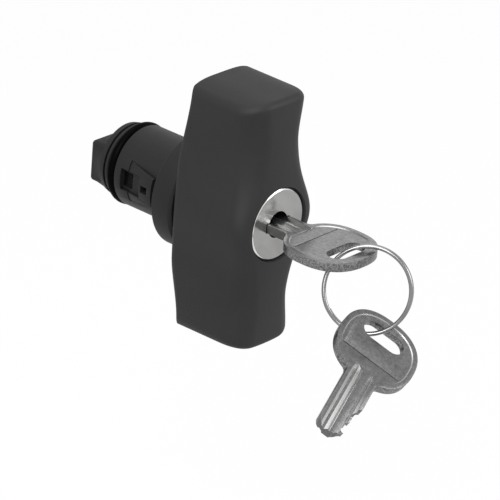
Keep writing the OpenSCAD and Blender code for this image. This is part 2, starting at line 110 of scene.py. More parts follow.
class Forge:
    """Makes meshes in millimetres and joins, cuts and rounds them."""

    WELD = 1e-7
    CUT_WELD = 2e-6
    SLIVER = 1e-6
    ON_AXIS = 1e-6
    FLAT = math.radians(0.4)
    SHARP = math.radians(32)

    @staticmethod
    def linked(name: str, data: bpy.types.ID) -> Piece:
        """Make an object of some data and link it to the scene.

        Args:
            name: Name of the object.
            data: Its mesh, lamp or camera.

        Returns:
            The object, at the origin.
        """
        obj = bpy.data.objects.new(name, data)
        bpy.context.scene.collection.objects.link(obj)
        return obj

    @classmethod
    def object_from(cls, name: str, verts: Iterable[Sequence[float]],
                    faces: Iterable[Sequence[int]]) -> Piece:
        """Make a linked object from vertices in millimetres.

        Args:
            name: Name of the object and its mesh.
            verts: Vertex places in millimetres.
            faces: Vertex numbers of each face.

        Returns:
            The new object, at the origin, with its place in its mesh.
        """
        mesh = bpy.data.meshes.new(name)
        mesh.from_pydata([[c * MM for c in v] for v in verts], [], [list(f) for f in faces])
        mesh.validate()
        with edited(mesh) as bm:
            bmesh.ops.remove_doubles(bm, verts=bm.verts, dist=cls.WELD)
            bmesh.ops.recalc_face_normals(bm, faces=bm.faces)
        return cls.linked(name, mesh)

    @classmethod
    def lathe(cls, name: str, profile: Profile, segments: int = 160) -> Piece:
        """Turn a closed profile of (radius, y) points about the barrel axis.

        Args:
            name: Name of the object.
            profile: Points of the closed profile; points at radius 0 close on the axis.
            segments: Number of steps round the axis.

        Returns:
            The turned object.
        """
        verts, faces = [], []
        n = len(profile)
        for k in range(segments):
            a = 2 * math.pi * k / segments
            verts += [(r * math.cos(a), y, r * math.sin(a)) for r, y in profile]
            m = (k + 1) % segments
            for i in range(n):
                j = (i + 1) % n
                first, second = profile[i][0] < cls.ON_AXIS, profile[j][0] < cls.ON_AXIS
                face = [k * n + i, k * n + j, m * n + j, m * n + i]
                if first and second:
                    continue
                if first or second:
                    face.pop(3 if first else 2)
                faces.append(face)
        return cls.object_from(name, verts, faces)

    @classmethod
    def block(cls, name: str, outline: Profile, start: float, stop: float, axis: Axis) -> Piece:
        """Draw a closed outline out along an axis.

        Args:
            name: Name of the object.
            outline: Points in the plane across the axis: (y, z) for X, (x, z) for Y, (x, y) for Z.
            start: One end of the block on the axis.
            stop: Its other end.
            axis: The axis of the draw.

        Returns:
            The block.
        """
        n = len(outline)
        ends = sorted((start, stop))
        verts = [[(a, b, c)[i] for i in axis.value] for c in ends for a, b in outline]
        faces = [list(range(n)), list(range(2 * n - 1, n - 1, -1))]
        faces += [[i, n + i, n + (i + 1) % n, (i + 1) % n] for i in range(n)]
        return cls.object_from(name, verts, faces)

    @classmethod
    def loft(cls, name: str, rings: Sequence[Sequence[Point3]]) -> Piece:
        """Skin a row of closed rings of equal length and close both ends.

        Args:
            name: Name of the object.
            rings: Rings of points, from one end to the other.

        Returns:
            The closed skin.
        """
        n, m = len(rings[0]), len(rings)
        verts = [p for ring in rings for p in ring]
        faces: list[list[int]] = []
        for k in range(m - 1):
            for i in range(n):
                j = (i + 1) % n
                faces.append([k * n + i, k * n + j, (k + 1) * n + j, (k + 1) * n + i])
        for k in (0, m - 1):
            verts.append(tuple(sum(c) / n for c in zip(*rings[k])))
            faces += [[len(verts) - 1, k * n + i, k * n + (i + 1) % n] for i in range(n)]
        return cls.object_from(name, verts, faces)

    @staticmethod
    def apply(obj: Piece) -> Piece:
        """Bake an object's modifiers into its mesh.

        Args:
            obj: The object.

        Returns:
            The same object, with no modifier left.
        """
        depsgraph = bpy.context.evaluated_depsgraph_get()
        mesh = bpy.data.meshes.new_from_object(obj.evaluated_get(depsgraph))
        old = obj.data
        obj.modifiers.clear()
        obj.data = mesh
        mesh.name = obj.name
        bpy.data.meshes.remove(old)
        return obj

    @classmethod
    def cut(cls, obj: Piece, *cutters: Piece) -> Piece:
        """Take closed cutters out of an object, in order, and delete them."""
        return cls._combine(obj, "DIFFERENCE", cutters)

    @classmethod
    def join(cls, obj: Piece, *others: Piece) -> Piece:
        """Fuse other closed objects into one and delete them."""
        return cls._combine(obj, "UNION", others)

    @classmethod
    def keep(cls, obj: Piece, *others: Piece) -> Piece:
        """Keep only what an object shares with others and delete them."""
        return cls._combine(obj, "INTERSECT", others)

    @classmethod
    def _combine(cls, obj: Piece, operation: str, others: Sequence[Piece]) -> Piece:
        """Run one boolean for each of the others.

        Args:
            obj: The object that changes.
            operation: DIFFERENCE, UNION or INTERSECT.
            others: The other objects, deleted afterwards.

        Returns:
            The changed object.
        """
        for other in others:
            mod = obj.modifiers.new("shape", "BOOLEAN")
            mod.operation = operation
            mod.solver = "EXACT"
            mod.object = other
            cls.apply(obj)
            mesh = other.data
            bpy.data.objects.remove(other)
            bpy.data.meshes.remove(mesh)
            with edited(obj.data) as bm:
                bmesh.ops.remove_doubles(bm, verts=bm.verts, dist=cls.CUT_WELD)
                bmesh.ops.dissolve_degenerate(bm, edges=bm.edges, dist=cls.SLIVER)
        return obj

    @classmethod
    def round_edges(cls, obj: Piece, width: float) -> Piece:
        """Round an object's sharp edges.

        Args:
            obj: The object that is rounded.
            width: Width of the rounding in millimetres.

        Returns:
            The rounded object.
        """
        with edited(obj.data) as bm:
            bmesh.ops.dissolve_limit(bm, angle_limit=cls.FLAT, verts=bm.verts, edges=bm.edges)
        mod = obj.modifiers.new("edges", "BEVEL")
        mod.width = width * MM
        mod.segments = 2
        mod.limit_method = "ANGLE"
        mod.angle_limit = cls.SHARP
        mod.use_clamp_overlap = True
        mod.miter_outer = "MITER_ARC"
        return cls.apply(obj)

    @staticmethod
    def shade(obj: Piece, angle: float = 38) -> Piece:
        """Shade smooth except across sharp edges.

        Args:
            obj: The object.
            angle: Angle between faces, in degrees, from which an edge is sharp.

        Returns:
            The same object.
        """
        obj.data.shade_smooth()
        obj.data.set_sharp_from_angle(angle=math.radians(angle))
        return obj

    @staticmethod
    def move(obj: Piece, matrix: Matrix) -> Piece:
        """Move the mesh by a matrix in metres and return the object."""
        obj.data.transform(matrix)
        return obj


def box_outline(a0: float, a1: float, b0: float, b1: float) -> Profile:
    """Outline of a rectangle from a0 to a1 and b0 to b1."""
    return [(a0, b0), (a1, b0), (a1, b1), (a0, b1)]


def centred(a: float, b: float) -> Profile:
    """Outline of a rectangle about the origin with half sides a and b."""
    return box_outline(-a, a, -b, b)


def disc(radius: float, steps: int = 96) -> Profile:
    """Outline of a circle about the origin."""
    angles = [2 * math.pi * i / steps for i in range(steps)]
    return [(radius * math.cos(a), radius * math.sin(a)) for a in angles]


def stadium(length: float, width: float, centre: Point2, steps: int = 24) -> Profile:
    """Outline of a slot with round ends.

    Args:
        length: Overall length along the first axis.
        width: Width of the slot.
        centre: Its centre.
        steps: Steps round each end.

    Returns:
        The outline.
    """
    half, r = (length - width) / 2, width / 2
    points = []
    for side, start in ((1, -90), (-1, 90)):
        for i in range(steps + 1):
            a = math.radians(start + 180 * i / steps)
            points.append((centre[0] + side * half + r * math.cos(a), centre[1] + r * math.sin(a)))
    return points


def shift(x: float, y: float, z: float) -> Matrix:
    """Matrix of a shift in millimetres."""
    return Matrix.Translation((x * MM, y * MM, z * MM))


def turn(degrees: float, axis: str) -> Matrix:
    """Matrix of a turn about an axis."""
    return Matrix.Rotation(math.radians(degrees), 4, axis)


# Node trees


def fill(tree: Tree, node: Node, inputs: dict) -> None:
    """Link sockets to a node's inputs and set its other inputs.

    Args:
        tree: The tree of the node.
        node: The node.
        inputs: Sockets or values, by the name or number of the input.
    """
    for label, value in inputs.items():
        if isinstance(value, Socket):
            tree.links.new(value, node.inputs[label])
        else:
            node.inputs[label].default_value = value


def add_node(tree: Tree, kind: str, inputs: Optional[dict] = None, **settings: object) -> Node:
    """Add a node to a tree, set it up and link it.

    Args:
        tree: The tree.
        kind: Type of the node.
        inputs: Sockets or values, by the name or number of the input.
        settings: The node's own settings.

    Returns:
        The node.
    """
    node = tree.nodes.new(kind)
    for label, value in settings.items():
        setattr(node, label, value)
    fill(tree, node, inputs or {})
    return node


def maths(tree: Tree, operation: str, *values: object) -> Socket:
    """Add a maths node whose inputs are sockets or numbers and return its result."""
    return add_node(tree, "ShaderNodeMath", dict(enumerate(values)), operation=operation).outputs[0]


def start_tree(name: str, kind: str, inputs: dict[str, str], outputs: dict[str, str]) -> Tree:
    """Start a node tree with named sockets.

    Args:
        name: Name of the tree.
        kind: Shader or Geometry.
        inputs: Socket type of each named input.
        outputs: Socket type of each named output.

    Returns:
        The tree, with no node yet.
    """
    tree = bpy.data.node_groups.new(name, kind + "NodeTree")
    for side, sockets in (("INPUT", inputs), ("OUTPUT", outputs)):
        for label, socket in sockets.items():
            tree.interface.new_socket(label, in_out=side, socket_type="NodeSocket" + socket)
    return tree


def end_tree(tree: Tree, geometry: Socket, material: Material) -> Tree:
    """End a Geometry Nodes tree in real geometry with a material.

    Args:
        tree: The tree.
        geometry: What it has made so far.
        material: The material.

    Returns:
        The tree.
    """
    real = add_node(tree, "GeometryNodeRealizeInstances", {"Geometry": geometry})
    inputs = {"Geometry": real.outputs["Geometry"], "Material": material}
    paint = add_node(tree, "GeometryNodeSetMaterial", inputs)
    add_node(tree, "NodeGroupOutput", {"Geometry": paint.outputs["Geometry"]})
    return tree


def grown(name: str, tree: Tree, values: dict) -> Piece:
    """Run a Geometry Nodes tree and keep its result as a plain mesh.

    Args:
        name: Name of the object.
        tree: The tree.
        values: Values of its inputs by name.

    Returns:
        The object, with no modifier left.
    """
    obj = Forge.linked(name, bpy.data.meshes.new(name))
    mod = obj.modifiers.new("nodes", "NODES")
    mod.node_group = tree
    for item in tree.interface.items_tree:
        if item.in_out == "INPUT":
            mod[item.identifier] = values[item.name]
    return Forge.apply(obj)


# Finishes


class Groups:
    """Shader node groups that several finishes share, each made once."""

    CELL_SHARE = 0.6
    DRAWN = (1.0, 0.06, 1.0)

    @staticmethod
    @cache
    def grain() -> Tree:
        """Make the group for fine moulded grain.

        Returns:
            The group, with a height and a slow mottling.
        """
        inputs = {"Vector": "Vector", "Grain Scale": "Float", "Mottle Scale": "Float"}
        tree = start_tree("moulded_grain", "Shader", inputs, {"Height": "Float", "Mottle": "Float"})
        given = add_node(tree, "NodeGroupInput").outputs
        at = {"Vector": given["Vector"], "Scale": given["Grain Scale"]}
        fine = add_node(tree, "ShaderNodeTexNoise", {**at, "Detail": 3}).outputs["Fac"]
        cells = add_node(tree, "ShaderNodeTexVoronoi", at, feature="SMOOTH_F1").outputs["Distance"]
        at = {"Vector": given["Vector"], "Scale": given["Mottle Scale"]}
        slow = add_node(tree, "ShaderNodeTexNoise", {**at, "Detail": 4}).outputs["Fac"]
        height = maths(tree, "MULTIPLY_ADD", cells, Groups.CELL_SHARE, fine)
        add_node(tree, "NodeGroupOutput", {"Height": height, "Mottle": slow})
        return tree

    @staticmethod
    @cache
    def scuffs() -> Tree:
        """Make the group for drawn lines along one direction and soft smudges.

        Returns:
            The group, with the lines and the smudges.
        """
        inputs = {"Vector": "Vector", "Line Scale": "Float", "Smudge Scale": "Float"}
        tree = start_tree("drawn_scuffs", "Shader", inputs, {"Lines": "Float", "Smudge": "Float"})
        given = add_node(tree, "NodeGroupInput").outputs
        drawn = {"Vector": given["Vector"], "Scale": Groups.DRAWN}
        stretch = add_node(tree, "ShaderNodeMapping", drawn).outputs["Vector"]
        at = {"Vector": stretch, "Scale": given["Line Scale"], "Detail": 4}
        lines = add_node(tree, "ShaderNodeTexNoise", at).outputs["Fac"]
        at = {"Vector": given["Vector"], "Scale": given["Smudge Scale"], "Detail": 5, "Distortion": 0.6}
        smudge = add_node(tree, "ShaderNodeTexNoise", at).outputs["Fac"]
        add_node(tree, "NodeGroupOutput", {"Lines": lines, "Smudge": smudge})
        return tree


class Desk:
    """A material's node tree with short calls for the nodes that the finishes use."""

    NOISE_LOW = 0.3
    NOISE_HIGH = 0.7

    def __init__(self, name: str) -> None:
        """Start a material with one Principled shader.

        Args:
            name: Name of the material.
        """
        self.material = bpy.data.materials.new(name)
        self.material.use_nodes = True
        self.tree = self.material.node_tree
        self.shader = next(n for n in self.tree.nodes if n.type == "BSDF_PRINCIPLED")
        self.place = add_node(self.tree, "ShaderNodeTexCoord").outputs["Object"]

    def turned(self, matrix: Optional[Matrix]) -> Socket:
        """Give object coordinates, turned into a piece's own directions where a matrix is given.

        Args:
            matrix: Turn from the frame to the piece, or None.

        Returns:
            The vector socket.
        """
        if matrix is None:
            return self.place
        inputs = {"Vector": self.place, "Rotation": matrix.to_euler("XYZ")}
        return add_node(self.tree, "ShaderNodeMapping", inputs).outputs["Vector"]

    def group(self, tree: Tree, inputs: dict) -> bpy.types.NodeOutputs:
        """Place a shared group with its inputs and return its outputs."""
        return add_node(self.tree, "ShaderNodeGroup", inputs, node_tree=tree).outputs

    def span(self, noise: Socket, low: float, high: float) -> Socket:
        """Spread a noise over a range.

        Args:
            noise: The noise.
            low: Start of the range.
            high: End of the range.

        Returns:
            The spread value.
        """
        inputs = {"Value": noise, "From Min": self.NOISE_LOW, "From Max": self.NOISE_HIGH,
                  "To Min": low, "To Max": high}
        return add_node(self.tree, "ShaderNodeMapRange", inputs).outputs["Result"]

    def mix(self, noise: Socket, dark: Point3, pale: Point3) -> Socket:
        """Mix two colours by a noise and return the colour."""
        inputs = {"Factor": self.span(noise, 0, 1), 6: (*dark, 1), 7: (*pale, 1)}
        return add_node(self.tree, "ShaderNodeMix", inputs, data_type="RGBA").outputs[2]

    def bump(self, height: Socket, depth: float) -> Socket:
        """Make a normal from a height in units of depth (metres)."""
        return add_node(self.tree, "ShaderNodeBump", {"Height": height, "Distance": depth}).outputs["Normal"]

    def finish(self, inputs: dict) -> Material:
        """Fill the shader's inputs and return the material."""
        fill(self.tree, self.shader, inputs)
        return self.material


@dataclass(frozen=True)
class Moulding:
    """Moulded plastic or rubber with a fine grain and a slow mottling.

    Args:
        name: Name of the material.
        dark: Colour of the darker mottling.
        pale: Colour of the paler mottling.
        rough: Lowest and highest roughness.
        grain: Scale of the grain per metre.
        mottle: Scale of the mottling per metre.
        depth: Height of the grain in metres.
        gloss: Specular level.
    """

    name: str
    dark: Point3
    pale: Point3
    rough: Point2 = (0.54, 0.64)
    grain: float = 3200
    mottle: float = 70
    depth: float = 0.00003
    gloss: float = 0.26

    def make(self) -> Material:
        """Build the material.

        Returns:
            The material.
        """
        desk = Desk(self.name)
        scales = {"Vector": desk.place, "Grain Scale": self.grain, "Mottle Scale": self.mottle}
        grain = desk.group(Groups.grain(), scales)
        return desk.finish({
            "Base Color": desk.mix(grain["Mottle"], self.dark, self.pale),
            "Roughness": desk.span(grain["Mottle"], *self.rough),
            "Normal": desk.bump(grain["Height"], self.depth),
            "Specular IOR Level": self.gloss,
        })


@dataclass(frozen=True)
class PlatedMetal:
    """Plated metal with drawn lines and smudges.

    Args:
        name: Name of the material.
        dark: Colour in the smudges.
        pale: Colour of the clean plating.
        rough: Lowest and highest roughness.
        lines: Scale of the drawn lines per metre.
        depth: Height of the lines in metres.
        turn: Turn of the lines from the frame to the piece, or None.
        smudge: Scale of the smudges per metre.
    """

    name: str
    dark: Point3
    pale: Point3
    rough: Point2 = (0.22, 0.36)
    lines: float = 1200
    depth: float = 0.000006
    turn: Optional[Matrix] = None
    smudge: float = 210

    def make(self) -> Material:
        """Build the material.

        Returns:
            The material.
        """
        desk = Desk(self.name)
        scales = {"Vector": desk.turned(self.turn), "Line Scale": self.lines, "Smudge Scale": self.smudge}
        scuffs = desk.group(Groups.scuffs(), scales)
        return desk.finish({
            "Base Color": desk.mix(scuffs["Smudge"], self.dark, self.pale),
            "Roughness": desk.span(scuffs["Lines"], *self.rough),
            "Normal": desk.bump(scuffs["Lines"], self.depth),
            "Metallic": 1.0,
        })


@dataclass(frozen=True)
class TurnedNickel:
    """Polished nickel with fine turning rings about the barrel axis.

    Args:
        name: Name of the material.
        dark: Colour in the smudges.
        pale: Colour of the clean plating.
        rough: Roughness in the smudges and of the clean plating.
        rings: Scale of the turning rings.
        depth: Height of the rings in metres.
        smudge: Scale of the smudges per metre.
    """

    name: str = "turned_nickel"
    dark: Point3 = (0.27, 0.267, 0.26)
    pale: Point3 = (0.36, 0.357, 0.35)
    rough: Point2 = (0.2, 0.13)
    rings: float = 900
    depth: float = 0.0000012
    smudge: float = 120

    def make(self) -> Material:
        """Build the material.

        Returns:
            The material.
        """
        desk = Desk(self.name)
        inputs = {"Vector": desk.place, "Scale": self.rings, "Distortion": 0.4, "Detail": 3}
        rings = add_node(desk.tree, "ShaderNodeTexWave", inputs, wave_type="RINGS", rings_direction="Y")
        smudge = desk.group(Groups.scuffs(), {"Vector": desk.place, "Smudge Scale": self.smudge})["Smudge"]
        return desk.finish({
            "Base Color": desk.mix(smudge, self.dark, self.pale),
            "Roughness": desk.span(smudge, *self.rough),
            "Normal": desk.bump(rings.outputs["Fac"], self.depth),
            "Metallic": 1.0,
        })


class Finishes:
    """All the materials, made once, and the CAD nodes that only need a better finish."""

    KEY_SMUDGE = 0.64

    def __init__(self) -> None:
        """Make the materials."""
        self.grip = Moulding("grip_moulding", (0.0145, 0.0145, 0.015), (0.018, 0.018, 0.0185)).make()
        self.barrel = Moulding("barrel_moulding", (0.0065, 0.0065, 0.0068), (0.009, 0.009, 0.0093),
                               rough=(0.52, 0.62), grain=2600).make()
        self.seal = Moulding("seal_rubber", (0.0006, 0.0006, 0.0006), (0.0014, 0.0014, 0.0014),
                             rough=(0.34, 0.48), grain=1800, mottle=220, depth=0.00001, gloss=0.02).make()
        self.washer = Moulding("washer_plastic", (0.58, 0.56, 0.5), (0.64, 0.62, 0.56),
                               rough=(0.3, 0.4), grain=900, mottle=150, depth=0.00001, gloss=0.5).make()
        self.steel = PlatedMetal("plated_steel", (0.28, 0.28, 0.285), (0.38, 0.38, 0.385)).make()
        self.face = TurnedNickel().make()
        # Painted highlight: a bright finish for the bevel round the lock's face, where it catches the light.
        self.rim = PlatedMetal("polished_rim", (0.66, 0.66, 0.65), (0.78, 0.78, 0.77),
                               rough=(0.12, 0.2)).make()
        # Painted highlight: a brighter finish for the keys' sloped faces, bevels and groove walls, which
        # catch the light.
        self.slope_highlight = PlatedMetal("milled_slope", (0.38, 0.38, 0.375), (0.43, 0.43, 0.425),
                                  rough=(0.24, 0.3), lines=600, depth=0.000002).make()
        # Painted shade: a dark, speckled finish for the upright walls of the keys' bows.
        self.bow_wall_shade = PlatedMetal("sheared_edge", (0.05, 0.05, 0.05), (0.33, 0.33, 0.328),
                                   rough=(0.28, 0.5), lines=1500, depth=0.00002, smudge=2600).make()
        # Painted shade: a dark finish for the inside of the keyway, where little light reaches.
        self.keyway_shade = PlatedMetal("oiled_keyway", (0.012, 0.012, 0.012), (0.03, 0.03, 0.029),
                                 rough=(0.34, 0.5)).make()
        self.brass = PlatedMetal("stamped_brass", (0.6, 0.44, 0.2), (0.72, 0.56, 0.3),
                                 rough=(0.3, 0.42)).make()
        self.ring = PlatedMetal("ring_wire", (0.2, 0.2, 0.2), (0.28, 0.28, 0.28),
                                rough=(0.16, 0.24), lines=700, depth=0.000001).make()
        self.slots: dict[Slot, Material] = {
            Slot.BARREL: self.barrel, Slot.SEAL: self.seal, Slot.WASHER: self.washer,
            Slot.STEEL: self.steel, Slot.LOCK: self.face, Slot.WAFER: self.brass,
        }

    def key(self, name: str, matrix: Optional[Matrix], tone: float) -> Material:
        """Make satin key nickel whose lines follow a key's own length.

        Args:
            name: Name of the material.
            matrix: Turn from the frame to the key, or None.
            tone: Brightness of the clean plating, lowered on the spare key as painted shade.

        Returns:
            The material.
        """
        dark, pale = (tone * self.KEY_SMUDGE,) * 3, (tone,) * 3
        return PlatedMetal(name, dark, pale, rough=(0.30, 0.44), lines=1500, depth=0.000009,
                           turn=matrix, smudge=1300).make()

    def dress_nodes(self, slot: Slot, *names: str) -> None:
        """Give CAD nodes the material of a slot.

        Args:
            slot: The slot whose material they get.
            names: Names of the CAD nodes.
        """
        for name in names:
            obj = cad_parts[name]
            obj.data.materials.clear()
            obj.data.materials.append(self.slots[slot])
            LOG.info("%s keeps its solid and takes %s", name, slot.value)


def settle(obj: Piece, material: Material, body: str, slot: Slot, *nodes: str) -> Piece:
    """Dress a finished piece and hand it to the frame.

    Args:
        obj: The piece.
        material: Its material.
        body: The body that it moves with.
        slot: Not used.
        nodes: CAD nodes that it stands for.

    Returns:
        The piece.
    """
    obj.data.materials.clear()
    obj.data.materials.append(material)
    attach(obj, body)
    if nodes:
        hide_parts(*nodes)
    LOG.info("%s: %d faces on %s", obj.name, len(obj.data.polygons), body)
    return obj


# Sub-assemblies


@dataclass
class Levels:
    """Places along the barrel axis that several pieces share, in millimetres."""

    collar_front: float = -6.5
    handle_back: float = -7.0
    plate_front: float = -9.2
    boss_front: float = -29.0
    lock_face: float = -28.2
    face_back: float = -26.6
    cylinder_back: float = -12.5
    groove_front: float = 16.8
    groove_back: float = 20.2
    barrel_back: float = 21.4
    spindle_end: float = 21.55
    flange_back: float = 23.15
    tang_end: float = 27.75


@dataclass
class Barrel:
    """Collar, snap-in tube with latch windows, seal and latches."""

    levels: Levels
    radius: float = 11.0
    land: float = 3.1
    band: float = 10.75
    lip_r: float = 9.8
    lip_chamfer: float = 0.5
    groove: float = 8.25
    bore: float = 6.1
    collar: float = 15.2
    collar_chamfers: Point2 = (0.8, 0.4)
    keeper: Point2 = (3.6, 7.6)
    keeper_reach: Point2 = (0.8, 4.4)
    stop_radii: Point2 = (9.0, 11.8)
    stop_pin: Point2 = (1.4, 10.4)
    stop_bearing: float = 225.0
    stop_reach: Point2 = (-0.5, 2.4)
    stop_steps: int = 40
    seal_centre: float = 1.4
    seal_r: float = 1.35
    seal_steps: int = 32
    latch_y: float = 3.4
    latch_end: float = 12.3
    latch_front: float = 3.8
    latch_rear: float = 5.4
    latch_out: float = 0.7
    latch_sink: float = 0.4
    latch_core: float = 6.0
    dish_y: float = 4.6
    dish_gap: float = 0.05
    hole_y: Point2 = (1.6, 3.9)
    hole_half: float = 0.95
    fork_y: float = 0.9
    fork: float = 2.1
    pocket_end: float = 14.8
    pocket: float = 2.9
    floor: float = 7.2
    rail: float = 9.7
    base: float = 8.85
    base_t: float = 0.7
    base_half: float = 2.7
    lip: float = 0.9
    fit: float = 0.15
    overlap: float = 0.02
    shell_edge: float = 0.16
    latch_edge: float = 0.12

    def outline(self, grow: float) -> Profile:
        """Outline of a latch in (y, z).

        Args:
            grow: Gap by which it is grown.

        Returns:
            The outline.
        """
        y0, y1 = self.latch_y - grow, self.latch_end + grow
        f, r = self.latch_front + grow, self.latch_rear + grow
        return [(y0, -f), (y1, -r), (y1, r), (y0, f)]

    def base_outline(self, grow: float) -> Profile:
        """Outline of a latch's base in (y, z), grown by a gap."""
        return box_outline(self.latch_y - self.lip - grow, self.pocket_end + self.lip + grow,
                           -self.base_half - grow, self.base_half + grow)

    def build_housing(self) -> Piece:
        """Turn the housing and cut its windows, stop groove and keeper slots.

        Returns:
            The housing.
        """
        lv = self.levels
        front, back = self.collar_chamfers
        obj = Forge.lathe("barrel_shell", [
            (self.bore, lv.collar_front), (self.collar - front, lv.collar_front),
            (self.collar, lv.collar_front + front), (self.collar, -back), (self.collar - back, 0),
            (self.radius, 0), (self.radius, self.land), (self.band, self.land),
            (self.band, lv.groove_front), (self.groove, lv.groove_front),
            (self.groove, lv.groove_back), (self.lip_r, lv.groove_back),
            (self.lip_r, lv.barrel_back - self.lip_chamfer),
            (self.lip_r - self.lip_chamfer, lv.barrel_back), (self.bore, lv.barrel_back)])
        pocket = box_outline(self.latch_end - self.overlap, self.pocket_end, -self.pocket, self.pocket)
        cuts = (("window", self.outline(self.fit), self.floor, FAR),
                ("pocket_floor", self.base_outline(self.fit), self.floor, self.rail),
                ("pocket", pocket, self.base, FAR))
        for side in (1, -1):
            for name, outline, inner, outer in cuts:
                Forge.cut(obj, Forge.block(name, outline, side * inner, side * outer, Axis.X))
        Forge.cut(obj, self.stop_groove())
        low, high = (lv.collar_front + reach for reach in self.keeper_reach)
        for half in (self.keeper, self.keeper[::-1]):
            Forge.cut(obj, Forge.block("keeper", centred(*half), low, high, Axis.Y))
        return Forge.shade(Forge.round_edges(obj, self.shell_edge))

    def stop_groove(self) -> Piece:
        """Make the cutter of the groove that the stop pin runs in.

        Returns:
            The cutter.
        """
        inner, outer = self.stop_radii
        sweep = 90 + 2 * math.degrees(math.asin(self.stop_pin[0] / self.stop_pin[1]))
        start = self.stop_bearing - sweep / 2
        angles = [math.radians(start + sweep * i / self.stop_steps) for i in range(self.stop_steps + 1)]
        arc = [(outer * math.cos(a), outer * math.sin(a)) for a in angles]
        arc += [(inner * math.cos(a), inner * math.sin(a)) for a in reversed(angles)]
        low, high = (self.levels.collar_front + reach for reach in self.stop_reach)
        return Forge.block("stop_groove", arc, low, high, Axis.Y)

    def build_seal(self) -> Piece:
        """Turn the seal ring.

        Returns:
            The seal.
        """
        centre, r = self.groove + self.seal_centre, self.seal_r
        mid = (self.levels.groove_front + self.levels.groove_back) / 2
        angles = np.linspace(0, 2 * math.pi, self.seal_steps + 1)[:-1]
        profile = [(centre + r * math.cos(a), mid + r * math.sin(a)) for a in angles]
        return Forge.shade(Forge.lathe("seal_ring", profile, 192), 60)

    def build_latch(self, name: str, side: int) -> Piece:
        """Shape one latch.

        Args:
            name: Name of the latch.
            side: 1 for the right latch, -1 for the left one.

        Returns:
            The latch.
        """
        y0, y1 = self.latch_y, self.latch_end
        obj = Forge.lathe(name, [(self.latch_core, y0), (self.radius + self.latch_out, y0),
                                 (self.radius - self.latch_sink, y1), (self.latch_core, y1)])

        def slab(label: str, outline: Profile, inner: float, outer: float = FAR) -> Piece:
            """Block from an inner to an outer distance on the latch's side."""
            return Forge.block(label, outline, side * inner, side * outer, Axis.X)

        Forge.keep(obj, slab("trim", self.outline(0), self.base))
        Forge.join(obj, slab("base", self.base_outline(0), self.base, self.base + self.base_t))
        dish = box_outline(y0 + self.dish_y, y1 + PAST, -self.pocket, self.pocket)
        hole = box_outline(y0 + self.hole_y[0], y0 + self.hole_y[1], -self.hole_half, self.hole_half)
        fork = box_outline(y1 - self.fork_y, self.pocket_end + self.overlap, -self.fork, self.fork)
        Forge.cut(obj, slab("dish", dish, self.base + self.base_t + self.dish_gap),
                  slab("hole", hole, 0.0), slab("fork", fork, 0.0))
        return Forge.shade(Forge.round_edges(obj, self.latch_edge))

    def dress(self, finishes: Finishes) -> None:
        """Build and dress the barrel's pieces.

        Args:
            finishes: The materials.
        """
        settle(self.build_housing(), finishes.barrel, "barrel", Slot.BARREL, "barrel_housing")
        settle(self.build_seal(), finishes.seal, "barrel", Slot.SEAL, "barrel_seal")
        left, right = self.build_latch("latch_left_shell", -1), self.build_latch("latch_right_shell", 1)
        settle(left, finishes.barrel, "latch_l", Slot.BARREL, "latch_left")
        settle(right, finishes.barrel, "latch_r", Slot.BARREL, "latch_right")
        finishes.dress_nodes(Slot.WASHER, "thrust_washer")
        finishes.dress_nodes(Slot.STEEL, "latch_spring_left", "latch_spring_right")


@dataclass
class ScrewRow:
    """Countersunk screws with a cross recess, set in a row along the height.

    Args:
        name: Name of the piece.
        node: The CAD node that the row stands for.
        seat: Place of the seat's face along the barrel axis.
        shank: Radius of the shank.
        head: Radius of the head.
        head_t: Height of the head.
        length: Length of a screw.
        count: Number of screws.
        spacing: Distance from one screw to the next.
        recess: Half length, half width and depth of the recess, as shares of the head's sizes.
        point: Size of the chamfer at the point.
        edge: Size of the chamfer round the head.
        sink: How far the head's face lies below its seat.
    """

    name: str
    node: str
    seat: float
    shank: float
    head: float
    head_t: float
    length: float
    count: int = 1
    spacing: float = 0.0
    recess: Point3 = (0.58, 0.15, 0.7)
    point: Point2 = (0.3, 0.6)
    edge: float = 0.12
    sink: float = 0.05

    def form(self) -> Piece:
        """Turn one screw with its face at the origin and cut the cross recess.

        Returns:
            The screw.
        """
        obj = Forge.lathe(self.name + "_form", [
            (0, -self.length), (self.shank - self.point[0], -self.length),
            (self.shank, -self.length + self.point[1]), (self.shank, -self.head_t),
            (self.head, -self.edge), (self.head - self.edge, 0), (0, 0)], 64)
        arm, width = (self.head * share for share in self.recess[:2])
        depth = self.head_t * self.recess[2]
        for half in ((arm, width), (width, arm)):
            Forge.cut(obj, Forge.block("recess", centred(*half), -depth, PAST, Axis.Y))
        return Forge.shade(obj)

    def tree(self, material: Material) -> Tree:
        """Make the node tree that sets screws along a line.

        Args:
            material: The screws' material.

        Returns:
            The tree, with the screw, count and distances as named inputs.
        """
        inputs = {"Screw": "Object", "Count": "Int", "Start": "Vector", "Step": "Vector"}
        tree = start_tree(self.name + "_row", "Geometry", inputs, {"Geometry": "Geometry"})
        given = add_node(tree, "NodeGroupInput").outputs
        along = {"Count": given["Count"], "Start Location": given["Start"], "Offset": given["Step"]}
        line = add_node(tree, "GeometryNodeMeshLine", along).outputs["Mesh"]
        screw = add_node(tree, "GeometryNodeObjectInfo", {"Object": given["Screw"]}).outputs["Geometry"]
        spread = add_node(tree, "GeometryNodeInstanceOnPoints", {"Points": line, "Instance": screw})
        return end_tree(tree, spread.outputs["Instances"], material)

    def dress(self, finishes: Finishes) -> None:
        """Build the row and hand it to the frame.

        Args:
            finishes: The materials.
        """
        screw = self.form()
        low = -self.spacing * (self.count - 1) / 2
        obj = grown(self.name, self.tree(finishes.steel), {
            "Screw": screw, "Count": self.count, "Start": (0.0, (self.seat - self.sink) * MM, low * MM),
            "Step": (0.0, 0.0, self.spacing * MM)})
        bpy.data.objects.remove(screw)
        settle(Forge.shade(obj), finishes.steel, "handle", Slot.STEEL, self.node)


